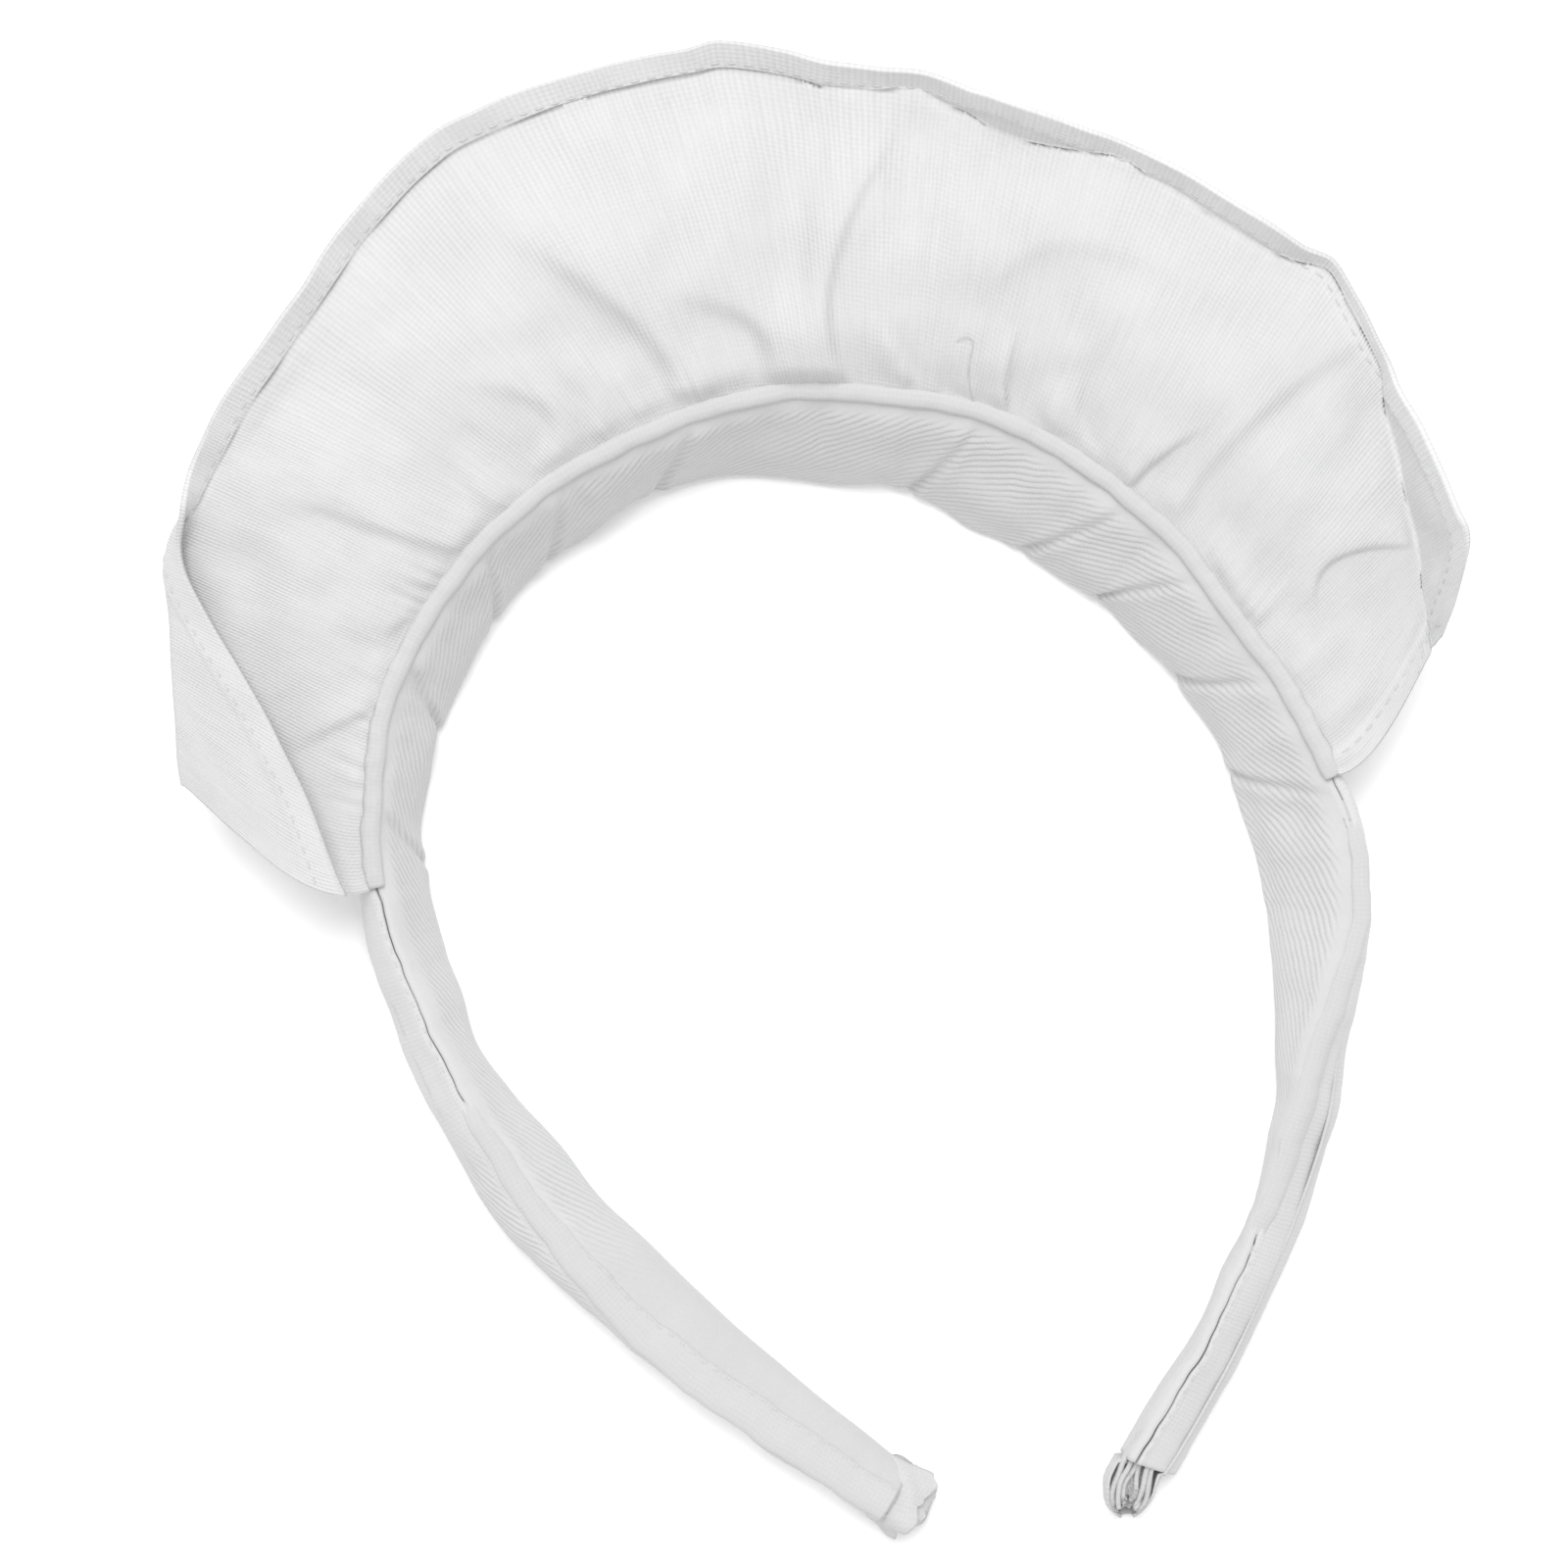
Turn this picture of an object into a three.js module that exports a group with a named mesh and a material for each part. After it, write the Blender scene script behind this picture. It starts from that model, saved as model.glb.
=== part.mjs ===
import * as THREE from 'three';

// Maid headband of plain white cotton, lying on the rear edge of its band.
// The band is a flat cloth tube, bent round the head as an open C. A gathered
// frill is sewn along the upper part of the band's front edge, and its two
// short ends are folded over. Millimetres, +Z up, origin under the middle.

// Cloth thicknesses and clearances
const BAND_CLOTH = 1.1;
const FILLING_CLOTH = 0.8;
const FRILL_CLOTH = 1.0;
const HEM_CLOTH = 1.7;
const HEM_DEPTH = 3.4;
const HEM_STEP = 0.5;
const GAP = 0.3;

// Where the tube and the frill's seam start and end, along the band's front edge
const TUBE_START = 0;
const TUBE_END = 395;
const SEAM_START = 110;
const SEAM_END = 297;

// The band's direction is measured over this distance both ways
const SLOPE_STEP = 0.5;

// The band, from the left tip over the top to the right tip. The layers inside
// the tube stick out of it at both tips.
// along: distance along the front edge. x, y: the front edge seen from above.
// depth: height of the front edge over the rear edge. inner: how far the inner
// wall leans in at its foot. back: how far the back wall stands out at its widest.
const BAND_SECTIONS = [
  { along: -5, x: 3.4, y: -101.5, depth: 8.0, inner: 5.8, back: 1.6 },
  { along: 0, x: -0.1, y: -97.8, depth: 8.5, inner: 5.8, back: 1.4 },
  { along: 19, x: -14.5, y: -85.2, depth: 9.0, inner: 7.3, back: 0.5 },
  { along: 38, x: -27.9, y: -71.8, depth: 9.8, inner: 9.0, back: 1.4 },
  { along: 60, x: -39.6, y: -53.3, depth: 11.0, inner: 7.0, back: 4.7 },
  { along: 79, x: -47.2, y: -36.2, depth: 12.2, inner: 4.5, back: 5.1 },
  { along: 86, x: -49.5, y: -29.5, depth: 12.7, inner: 3.2, back: 4.9 },
  { along: 93, x: -51.5, y: -22.7, depth: 13.2, inner: 4.6, back: 4.6 },
  { along: 99, x: -53.0, y: -16.8, depth: 13.6, inner: 4.6, back: 4.2 },
  { along: 110, x: -54.6, y: -5.9, depth: 14.6, inner: 5.2, back: 3.0 },
  { along: 120, x: -53.8, y: 4.0, depth: 15.2, inner: 4.8, back: 1.6 },
  { along: 137, x: -48.8, y: 19.8, depth: 16.4, inner: 6.0, back: 1.0 },
  { along: 157, x: -36.6, y: 34.7, depth: 17.4, inner: 5.6, back: 0.8 },
  { along: 168, x: -27.6, y: 41.0, depth: 17.8, inner: 4.9, back: 0.7 },
  { along: 178, x: -18.6, y: 45.4, depth: 18.0, inner: 6.2, back: 0.6 },
  { along: 199, x: 1.6, y: 50.2, depth: 18.0, inner: 8.4, back: 0.0 },
  { along: 214, x: 16.6, y: 48.9, depth: 18.0, inner: 9.4, back: -0.2 },
  { along: 233, x: 35.2, y: 42.6, depth: 18.0, inner: 12.0, back: -0.4 },
  { along: 256, x: 52.6, y: 27.2, depth: 17.4, inner: 10.6, back: -0.2 },
  { along: 271, x: 60.4, y: 14.5, depth: 16.8, inner: 8.7, back: 0.2 },
  { along: 284, x: 66.6, y: 3.2, depth: 16.0, inner: 9.2, back: 0.4 },
  { along: 297, x: 71.1, y: -9.0, depth: 15.2, inner: 10.6, back: 0.6 },
  { along: 305, x: 72.9, y: -17.2, depth: 14.7, inner: 11.2, back: 0.9 },
  { along: 314, x: 72.6, y: -26.2, depth: 14.2, inner: 10.9, back: 1.6 },
  { along: 323, x: 69.8, y: -34.0, depth: 13.6, inner: 8.6, back: 2.9 },
  { along: 334, x: 65.0, y: -43.4, depth: 12.6, inner: 4.3, back: 4.5 },
  { along: 344, x: 61.0, y: -52.4, depth: 12.0, inner: 1.3, back: 5.8 },
  { along: 357, x: 55.6, y: -63.9, depth: 11.0, inner: -0.4, back: 5.6 },
  { along: 367, x: 50.6, y: -72.6, depth: 10.4, inner: 0.1, back: 5.5 },
  { along: 377, x: 45.1, y: -81.2, depth: 9.8, inner: 0.4, back: 5.5 },
  { along: 386, x: 39.4, y: -88.4, depth: 9.4, inner: 0.6, back: 5.8 },
  { along: 395, x: 33.7, y: -95.6, depth: 9.0, inner: 0.7, back: 5.7 },
  { along: 399, x: 32.4, y: -99.4, depth: 8.4, inner: 0.4, back: 3.6 },
  { along: 403, x: 31.9, y: -103.4, depth: 7.6, inner: 0.4, back: 2.4 },
];

// Half the thickness of the front edge, where both walls meet
const RIDGE = BAND_CLOTH + GAP / 2;

// The inner wall, from the front edge down to the rear edge and on to the foot.
// lean: share of the section's inner. swell: further in. pull: share of the
// pucker. rise: share of the depth. up: further up.
const LINING_OUTLINE = [
  { lean: 0, swell: RIDGE, pull: 0, rise: 1, up: 0 },
  { lean: 0.38, swell: 1.3, pull: 0.3, rise: 0.72, up: 0 },
  { lean: 0.7, swell: 1.3, pull: 0.8, rise: 0.42, up: 0 },
  { lean: 0.88, swell: 0.9, pull: 0.88, rise: 0.2, up: 0 },
  { lean: 1, swell: 0.2, pull: 1, rise: 0, up: 1.3 },
  { lean: 1, swell: -0.9, pull: 1, rise: 0, up: 0 },
];

// The back wall, from low down up to the front edge. swing: share of the
// section's back. out: further out. rise: share of the depth.
const COVER_OUTLINE = [
  { swing: 1, out: 0, rise: 0.22 },
  { swing: 1, out: 0.4, rise: 0.45 },
  { swing: 0.5, out: 1.2, rise: 0.74 },
  { swing: 0, out: RIDGE, rise: 1 },
];

// The foot is at least this thick, and its walls stay apart where they turn in
const FOOT_THICKNESS = 4.6;
const FOOT_TUCK = 1.3;
const FOOT_CLEAR = 0.5;

// The layers inside the tube: clear of its walls, with a rounded bottom
const FILLING_CLEAR = 0.5;
const FILLING_BOTTOM = 0.2;
const FILLING_TUCK = 0.4;
const FILLING_CORNER = { side: 0.9, rise: 0.6, back: 0.5 };

// Where the layers stick out of the tube they spread into an open bag with a
// rounded end. inner, back: its two sides, measured out from the front edge.
// top: height of their upper edges, low: height of the bottom, both as shares
// of the depth.
const TIPS = [
  { along: -5, inner: -3.9, back: -0.9, top: 0.5, low: 0.2 },
  { along: -4.3, inner: -5.7, back: 1, top: 0.66, low: 0.14 },
  { along: -2.8, inner: -6.3, back: 2.5, top: 0.76, low: 0.1 },
  { along: -0.9, inner: -6.1, back: 2.5, top: 0.8, low: 0.1 },
  { along: 395.9, inner: -2.2, back: 3.9, top: 0.8, low: 0.1 },
  { along: 398.5, inner: -2.8, back: 3.6, top: 0.8, low: 0.1 },
  { along: 400.8, inner: -2.6, back: 2.9, top: 0.74, low: 0.14 },
  { along: 402.2, inner: -1.7, back: 1.6, top: 0.6, low: 0.2 },
  { along: 403, inner: -0.7, back: 0.7, top: 0.48, low: 0.28 },
];
// The bag's outline from edge to edge. across: from its inner side to its back
// side. rise: from its bottom to its upper edges.
const TIP_OUTLINE = [
  { across: 0.04, rise: 1 },
  { across: 0, rise: 0.5 },
  { across: 0.05, rise: 0.16 },
  { across: 0.24, rise: 0 },
  { across: 0.76, rise: 0 },
  { across: 1, rise: 0.4 },
  { across: 0.94, rise: 1 },
];

// The welt over the seam. out: its upper side. foot: its lower side. up: height.
const WELT_OUTLINE = [
  { out: -1.05, foot: -RIDGE, up: 0.96 },
  { out: -0.3, foot: -0.4, up: 1.2 },
  { out: 0.4, foot: 0.5, up: 0.84 },
];

// The frill, from the left end of its seam to the right end.
// seam: place along the seam, 0 to 1. foldX, foldY, foldZ: the line where the
// cloth turns over or its hem turns up. turn: angle of that turn in degrees.
// flap: cloth beyond it. crown: how far the cloth arches up before it. bow: how
// far it swings to the left halfway, which a flap that lies on it follows.
const FRILL_SECTIONS = [
  { seam: 0.0, foldX: -77.6, foldY: 10.9, foldZ: 16, turn: 168, flap: 30.4, crown: 0.3, bow: 3.4 },
  { seam: 0.05, foldX: -77.1, foldY: 19.2, foldZ: 17, turn: 166, flap: 25.2, crown: 0.4, bow: 1.8 },
  { seam: 0.1, foldX: -76.2, foldY: 28.3, foldZ: 18, turn: 162, flap: 16.6, crown: 0.6, bow: 0.4 },
  { seam: 0.14, foldX: -75.4, foldY: 36.0, foldZ: 19, turn: 156, flap: 9, crown: 1.0, bow: 0 },
  { seam: 0.175, foldX: -73.8, foldY: 41.6, foldZ: 21, turn: 128, flap: 5.2, crown: 1.5, bow: 0 },
  { seam: 0.205, foldX: -70.2, foldY: 46.1, foldZ: 24, turn: 66, flap: 4.6, crown: 2.0, bow: 0 },
  { seam: 0.246, foldX: -64.9, foldY: 52.1, foldZ: 26, turn: 32, flap: 4.1, crown: 2.5, bow: 0 },
  { seam: 0.28, foldX: -60.9, foldY: 57.2, foldZ: 27, turn: 25, flap: 3.9, crown: 2.8, bow: 0 },
  { seam: 0.314, foldX: -53.3, foldY: 65.5, foldZ: 27, turn: 34, flap: 4.1, crown: 3.0, bow: 0 },
  { seam: 0.36, foldX: -42.6, foldY: 76.9, foldZ: 27, turn: 32, flap: 4.1, crown: 3.0, bow: 0 },
  { seam: 0.4, foldX: -31.9, foldY: 85.1, foldZ: 27, turn: 26, flap: 3.9, crown: 3.0, bow: 0 },
  { seam: 0.425, foldX: -23.7, foldY: 87.9, foldZ: 27, turn: 24, flap: 3.9, crown: 3.0, bow: 0 },
  { seam: 0.45, foldX: -15.0, foldY: 90.0, foldZ: 27, turn: 22, flap: 3.5, crown: 3.0, bow: 0 },
  { seam: 0.48, foldX: -6.1, foldY: 91.0, foldZ: 27, turn: 20, flap: 3.5, crown: 3.0, bow: 0 },
  { seam: 0.5, foldX: 0.7, foldY: 91.4, foldZ: 27, turn: 24, flap: 3.5, crown: 3.0, bow: 0 },
  { seam: 0.513, foldX: 5.0, foldY: 91.5, foldZ: 27.5, turn: 26, flap: 3.9, crown: 3.0, bow: 0 },
  { seam: 0.533, foldX: 12.8, foldY: 89.6, foldZ: 27, turn: 40, flap: 4.2, crown: 3.0, bow: 0 },
  { seam: 0.553, foldX: 19.3, foldY: 86.8, foldZ: 28, turn: 44, flap: 4.6, crown: 3.0, bow: 0 },
  { seam: 0.58, foldX: 28.8, foldY: 85.3, foldZ: 28.5, turn: 44, flap: 3.6, crown: 3.0, bow: 0 },
  { seam: 0.595, foldX: 32.3, foldY: 83.0, foldZ: 28.5, turn: 46, flap: 5.0, crown: 3.0, bow: 0 },
  { seam: 0.607, foldX: 35.2, foldY: 81.5, foldZ: 28.5, turn: 50, flap: 5.3, crown: 3.0, bow: 0 },
  { seam: 0.62, foldX: 38.3, foldY: 78.7, foldZ: 28.5, turn: 52, flap: 7.6, crown: 3.0, bow: 0 },
  { seam: 0.632, foldX: 41.5, foldY: 77.1, foldZ: 28.5, turn: 50, flap: 7.2, crown: 3.0, bow: 0 },
  { seam: 0.657, foldX: 48.7, foldY: 74.7, foldZ: 28.5, turn: 48, flap: 4.7, crown: 3.0, bow: 0 },
  { seam: 0.676, foldX: 53.9, foldY: 72.9, foldZ: 29, turn: 42, flap: 2.9, crown: 3.0, bow: 0 },
  { seam: 0.69, foldX: 57.2, foldY: 69.8, foldZ: 29, turn: 48, flap: 4.5, crown: 3.0, bow: 0 },
  { seam: 0.711, foldX: 62.0, foldY: 65.9, foldZ: 29, turn: 50, flap: 5.1, crown: 3.0, bow: 0 },
  { seam: 0.745, foldX: 68.9, foldY: 59.9, foldZ: 29, turn: 46, flap: 5.1, crown: 2.8, bow: 0 },
  { seam: 0.765, foldX: 73.6, foldY: 57.0, foldZ: 29, turn: 40, flap: 3.1, crown: 2.7, bow: 0 },
  { seam: 0.78, foldX: 77.5, foldY: 55.2, foldZ: 29, turn: 36, flap: 2.0, crown: 2.6, bow: 0 },
  { seam: 0.798, foldX: 79.5, foldY: 50.4, foldZ: 28.5, turn: 34, flap: 1.9, crown: 2.4, bow: 0 },
  { seam: 0.82, foldX: 81.5, foldY: 45.5, foldZ: 28, turn: 36, flap: 2.0, crown: 2.2, bow: 0 },
  { seam: 0.84, foldX: 82.9, foldY: 41.7, foldZ: 27, turn: 44, flap: 2.8, crown: 2.0, bow: 0 },
  { seam: 0.857, foldX: 83.0, foldY: 37.5, foldZ: 25.5, turn: 52, flap: 5.2, crown: 1.8, bow: 0 },
  { seam: 0.875, foldX: 83.7, foldY: 31.8, foldZ: 24.5, turn: 56, flap: 8.5, crown: 1.6, bow: 0 },
  { seam: 0.89, foldX: 84.4, foldY: 27.3, foldZ: 23.5, turn: 58, flap: 10.8, crown: 1.4, bow: 0 },
  { seam: 0.91, foldX: 84.8, foldY: 23.0, foldZ: 22.7, turn: 59, flap: 12.9, crown: 1.2, bow: 0 },
  { seam: 0.926, foldX: 85.2, foldY: 19.7, foldZ: 22, turn: 60, flap: 14.2, crown: 1.0, bow: 0 },
  { seam: 0.943, foldX: 85.6, foldY: 16.6, foldZ: 21, turn: 60, flap: 15.0, crown: 0.9, bow: -0.4 },
  { seam: 0.96, foldX: 85.5, foldY: 13.0, foldZ: 20, turn: 57, flap: 13.3, crown: 0.7, bow: -0.8 },
  { seam: 0.98, foldX: 85.8, foldY: 9.6, foldZ: 19, turn: 48, flap: 8.5, crown: 0.5, bow: -1.4 },
  { seam: 1.0, foldX: 85.8, foldY: 5.9, foldZ: 18, turn: 30, flap: 3.1, crown: 0.4, bow: -1.9 },
];
const FOLD_RADIUS = 1.5;

// The flap is never shorter than LEAST_FLAP. Its hem's step lies between these
// shares of its length where the flap is short.
const LEAST_FLAP = 0.8;
const HEM_SHARES = { first: 0.25, last: 0.7 };

// The frill starts a little outside the band's front edge, and its swing to the
// left is widest nearer to the seam than to the fold line
const SEAM_OFFSET = 0.9;
const BOW_PEAK = 0.6;

// Main folds that rise from the gathers. seam: where each starts along the seam.
// tip: where it points to at its end. reach: how far out it runs, 1 at the fold
// line. height: its height, below zero for a valley. width: half its width.
const MAIN_FOLDS = [
  { seam: 0.035, tip: 0.04, reach: 0.35, height: 1.0, width: 0.012 },
  { seam: 0.085, tip: 0.07, reach: 0.4, height: 1.2, width: 0.013 },
  { seam: 0.13, tip: 0.08, reach: 0.55, height: 1.8, width: 0.014 },
  { seam: 0.165, tip: 0.15, reach: 0.4, height: 1.3, width: 0.011 },
  { seam: 0.195, tip: 0.17, reach: 0.45, height: 1.8, width: 0.013 },
  { seam: 0.25, tip: 0.255, reach: 0.75, height: 2.4, width: 0.015 },
  { seam: 0.287, tip: 0.31, reach: 0.55, height: 2.2, width: 0.013 },
  { seam: 0.33, tip: 0.352, reach: 0.65, height: 2.6, width: 0.014 },
  { seam: 0.366, tip: 0.382, reach: 0.5, height: 2.0, width: 0.012 },
  { seam: 0.397, tip: 0.4, reach: 0.3, height: 1.6, width: 0.01 },
  { seam: 0.427, tip: 0.404, reach: 0.9, height: 3.0, width: 0.015 },
  { seam: 0.46, tip: 0.45, reach: 0.3, height: 1.6, width: 0.01 },
  { seam: 0.486, tip: 0.466, reach: 0.55, height: 2.2, width: 0.013 },
  { seam: 0.523, tip: 0.527, reach: 0.8, height: 1.8, width: 0.012 },
  { seam: 0.551, tip: 0.56, reach: 0.95, height: 2.6, width: 0.014 },
  { seam: 0.587, tip: 0.578, reach: 0.35, height: 1.8, width: 0.011 },
  { seam: 0.625, tip: 0.622, reach: 0.35, height: 1.7, width: 0.011 },
  { seam: 0.662, tip: 0.655, reach: 0.45, height: 2.0, width: 0.012 },
  { seam: 0.694, tip: 0.69, reach: 0.3, height: 1.6, width: 0.011 },
  { seam: 0.728, tip: 0.71, reach: 0.4, height: 1.9, width: 0.012 },
  { seam: 0.755, tip: 0.81, reach: 1.1, height: -2.4, width: 0.026 },
  { seam: 0.79, tip: 0.8, reach: 0.3, height: 1.3, width: 0.011 },
  { seam: 0.83, tip: 0.82, reach: 0.35, height: 1.4, width: 0.012 },
  { seam: 0.875, tip: 0.85, reach: 0.4, height: 1.5, width: 0.013 },
  { seam: 0.93, tip: 0.9, reach: 0.3, height: 0.9, width: 0.014 },
];
const FOLD_START = 0.07;

// Fine gathers between the main folds
const FINE_GATHERS = 26;
const FINE_GATHER_HEIGHT = 0.5;
const FINE_GATHER_REACH = 0.4;

// Puckers of the inner wall's foot, where the seam draws it up.
// pull: how far each pushes the foot in, below zero where it bulges back out.
const PUCKERS = [
  { along: -5, pull: 0 },
  { along: 104, pull: 0 },
  { along: 111, pull: -0.2 },
  { along: 119, pull: 0.1 },
  { along: 126, pull: 0.7 },
  { along: 131, pull: -0.4 },
  { along: 136, pull: 0.3 },
  { along: 145, pull: 0.2 },
  { along: 151, pull: -0.3 },
  { along: 160, pull: 0.6 },
  { along: 165, pull: 0.7 },
  { along: 170, pull: 1.6 },
  { along: 176, pull: 0.2 },
  { along: 181, pull: -1.5 },
  { along: 187, pull: -1.2 },
  { along: 194, pull: -0.7 },
  { along: 202, pull: 0.4 },
  { along: 212, pull: 1.2 },
  { along: 220, pull: -0.6 },
  { along: 228, pull: 0 },
  { along: 235, pull: 0.9 },
  { along: 243, pull: 0.4 },
  { along: 251, pull: 0.7 },
  { along: 257, pull: 0.2 },
  { along: 267, pull: 1.2 },
  { along: 273, pull: 0 },
  { along: 278, pull: 0.6 },
  { along: 290, pull: -0.2 },
  { along: 297, pull: 0.5 },
  { along: 305, pull: 0.2 },
  { along: 313, pull: 0 },
  { along: 403, pull: 0 },
];

// How far along the band the layers inside keep clear of a pucker
const PUCKER_REACH = 5;

// Steps of the meshes
const BAND_STEPS = { left: 14, seam: 42, right: 12 };
const WELT_STEPS = 58;
const FILLING_STEPS = 42;
const FRILL_STEPS = 100;
const FRILL_ROWS = [0, 0.04, 0.1, 0.17, 0.25, 0.35, 0.47, 0.62, 0.8, 1];
const TURN_ROWS = 3;

const COTTON = { roughness: 0.92, metalness: 0 };

// Smooth value of one column of a table, between its rows.
function readTable(rows, key, at, column) {
  let next = 1;
  while (next < rows.length - 1 && rows[next][key] < at) {
    next += 1;
  }
  const slopeAt = (index) => {
    const before = rows[Math.max(index - 1, 0)];
    const after = rows[Math.min(index + 1, rows.length - 1)];
    return (after[column] - before[column]) / (after[key] - before[key]);
  };
  const from = rows[next - 1];
  const to = rows[next];
  const span = to[key] - from[key];
  const t = (at - from[key]) / span;
  const eased = t * t * (3 - 2 * t);
  const startPull = t * (1 - t) * (1 - t) * span * slopeAt(next - 1);
  const endPull = t * t * (t - 1) * span * slopeAt(next);
  return from[column] + (to[column] - from[column]) * eased + startPull + endPull;
}

// A rise from 0 to 1 with soft ends.
function ramp(value) {
  return THREE.MathUtils.smoothstep(value, 0, 1);
}

// A closed sheet between two grids of points with the same rows and columns.
// The upper grid's faces look along (next row) x (next column).
function thickSheet(upper, lower) {
  const rows = upper.length;
  const columns = upper[0].length;
  const points = [...upper.flat(), ...lower.flat()];
  const index = (side, row, column) => (side * rows + row) * columns + column;
  const faces = [];
  const addQuad = (a, b, c, d) => {
    faces.push(a, b, c, a, c, d);
  };
  for (let row = 0; row < rows - 1; row += 1) {
    for (let column = 0; column < columns - 1; column += 1) {
      for (const side of [0, 1]) {
        const corners = [
          index(side, row, column),
          index(side, row + 1, column),
          index(side, row + 1, column + 1),
          index(side, row, column + 1),
        ];
        addQuad(...(side === 0 ? corners : corners.reverse()));
      }
    }
  }
  for (let row = 0; row < rows - 1; row += 1) {
    const end = columns - 1;
    addQuad(index(0, row, 0), index(1, row, 0), index(1, row + 1, 0), index(0, row + 1, 0));
    addQuad(index(0, row + 1, end), index(1, row + 1, end), index(1, row, end), index(0, row, end));
  }
  for (let column = 0; column < columns - 1; column += 1) {
    const end = rows - 1;
    addQuad(index(0, 0, column + 1), index(1, 0, column + 1), index(1, 0, column), index(0, 0, column));
    addQuad(index(0, end, column), index(1, end, column), index(1, end, column + 1), index(0, end, column + 1));
  }
  const geometry = new THREE.BufferGeometry();
  geometry.setAttribute('position', new THREE.Float32BufferAttribute(points.flatMap((p) => p.toArray()), 3));
  geometry.setIndex(faces);
  geometry.computeVertexNormals();
  return geometry;
}

// The band's section at a distance along its front edge.
function bandSection(along) {
  const read = (column) => readTable(BAND_SECTIONS, 'along', along, column);
  const first = Math.max(along - SLOPE_STEP, BAND_SECTIONS[0].along);
  const last = Math.min(along + SLOPE_STEP, BAND_SECTIONS.at(-1).along);
  const tangent = new THREE.Vector2(
    readTable(BAND_SECTIONS, 'along', last, 'x') - readTable(BAND_SECTIONS, 'along', first, 'x'),
    readTable(BAND_SECTIONS, 'along', last, 'y') - readTable(BAND_SECTIONS, 'along', first, 'y'),
  ).normalize();
  return {
    origin: new THREE.Vector2(read('x'), read('y')),
    outward: new THREE.Vector2(-tangent.y, tangent.x),
    depth: read('depth'),
    inner: read('inner'),
    back: read('back'),
  };
}

// A point of a section: out is measured from the front edge, away from the head.
function inSection(section, out, height) {
  const plan = section.origin.clone().addScaledVector(section.outward, out);
  return new THREE.Vector3(plan.x, plan.y, height);
}

// Where the back wall meets the floor.
function backFoot(section) {
  return Math.max(FOOT_THICKNESS - section.inner, section.back - FOOT_TUCK);
}

// Outline of the inner wall and the foot: down from the front edge, round the
// rear edge and flat along the floor.
function liningOutline(section, pucker) {
  const { depth, inner } = section;
  const wall = LINING_OUTLINE.map(({ lean, swell, pull, rise, up }) => (
    new THREE.Vector2(-lean * inner - swell - pull * pucker, rise * depth + up)
  ));
  return [...wall, new THREE.Vector2(backFoot(section) - BAND_CLOTH - FOOT_CLEAR, 0)];
}

// Outline of the back wall, from its foot up to the front edge.
function coverOutline(section) {
  const { depth, back } = section;
  const wall = COVER_OUTLINE.map(({ swing, out, rise }) => (
    new THREE.Vector2(swing * back + out, rise * depth)
  ));
  return [new THREE.Vector2(backFoot(section), GAP), ...wall];
}

// The same outline moved to its left by a distance.
function offsetOutline(outline, distance) {
  return outline.map((point, index) => {
    const before = outline[Math.max(index - 1, 0)];
    const after = outline[Math.min(index + 1, outline.length - 1)];
    const along = after.clone().sub(before).normalize();
    return point.clone().add(new THREE.Vector2(-along.y, along.x).multiplyScalar(distance));
  });
}

// A cloth wall along the band, whose outline comes from each section.
function bandWall(stations, outlineAt, thickness) {
  const outer = [];
  const inner = [];
  for (const along of stations) {
    const section = bandSection(along);
    const outline = outlineAt(section, along);
    const place = (point) => inSection(section, point.x, point.y);
    outer.push(outline.map(place));
    inner.push(offsetOutline(outline, thickness).map(place));
  }
  return thickSheet(inner, outer);
}

// How far the seam draws the inner wall in, and the least of it close by.
function puckerAt(along) {
  return readTable(PUCKERS, 'along', along, 'pull');
}

function leastPuckerNear(along) {
  return Math.min(0, puckerAt(along - PUCKER_REACH), puckerAt(along), puckerAt(along + PUCKER_REACH));
}

// The layers folded up inside the tube: a strip bent into a U, closed below.
function fillingOutline(section, pucker) {
  const clear = BAND_CLOTH + FILLING_CLEAR;
  const [, shoulder, waist, ankle, heel, floor] = offsetOutline(liningOutline(section, pucker), clear);
  const [, backFirst, backSecond, backThird] = offsetOutline(coverOutline(section), clear);
  const bottom = Math.max(heel.y, floor.y) + FILLING_BOTTOM;
  const side = Math.max(ankle.x, heel.x) + FILLING_TUCK;
  return [
    shoulder,
    waist,
    new THREE.Vector2(side, Math.max(ankle.y, bottom + FILLING_CORNER.rise)),
    new THREE.Vector2(side + FILLING_CORNER.side, bottom),
    new THREE.Vector2(backFirst.x - FILLING_CORNER.back, bottom),
    backSecond,
    backThird,
  ];
}

// Outline of the open bag that the layers form past the tube's ends.
function tipOutline(section, { inner, back, top, low }) {
  return TIP_OUTLINE.map(({ across, rise }) => new THREE.Vector2(
    THREE.MathUtils.lerp(inner, back, across),
    section.depth * THREE.MathUtils.lerp(low, top, rise),
  ));
}

// Evenly spaced numbers from start to end, both included.
function evenly(start, end, steps) {
  return Array.from({ length: steps + 1 }, (_, step) => start + ((end - start) * step) / steps);
}

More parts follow.
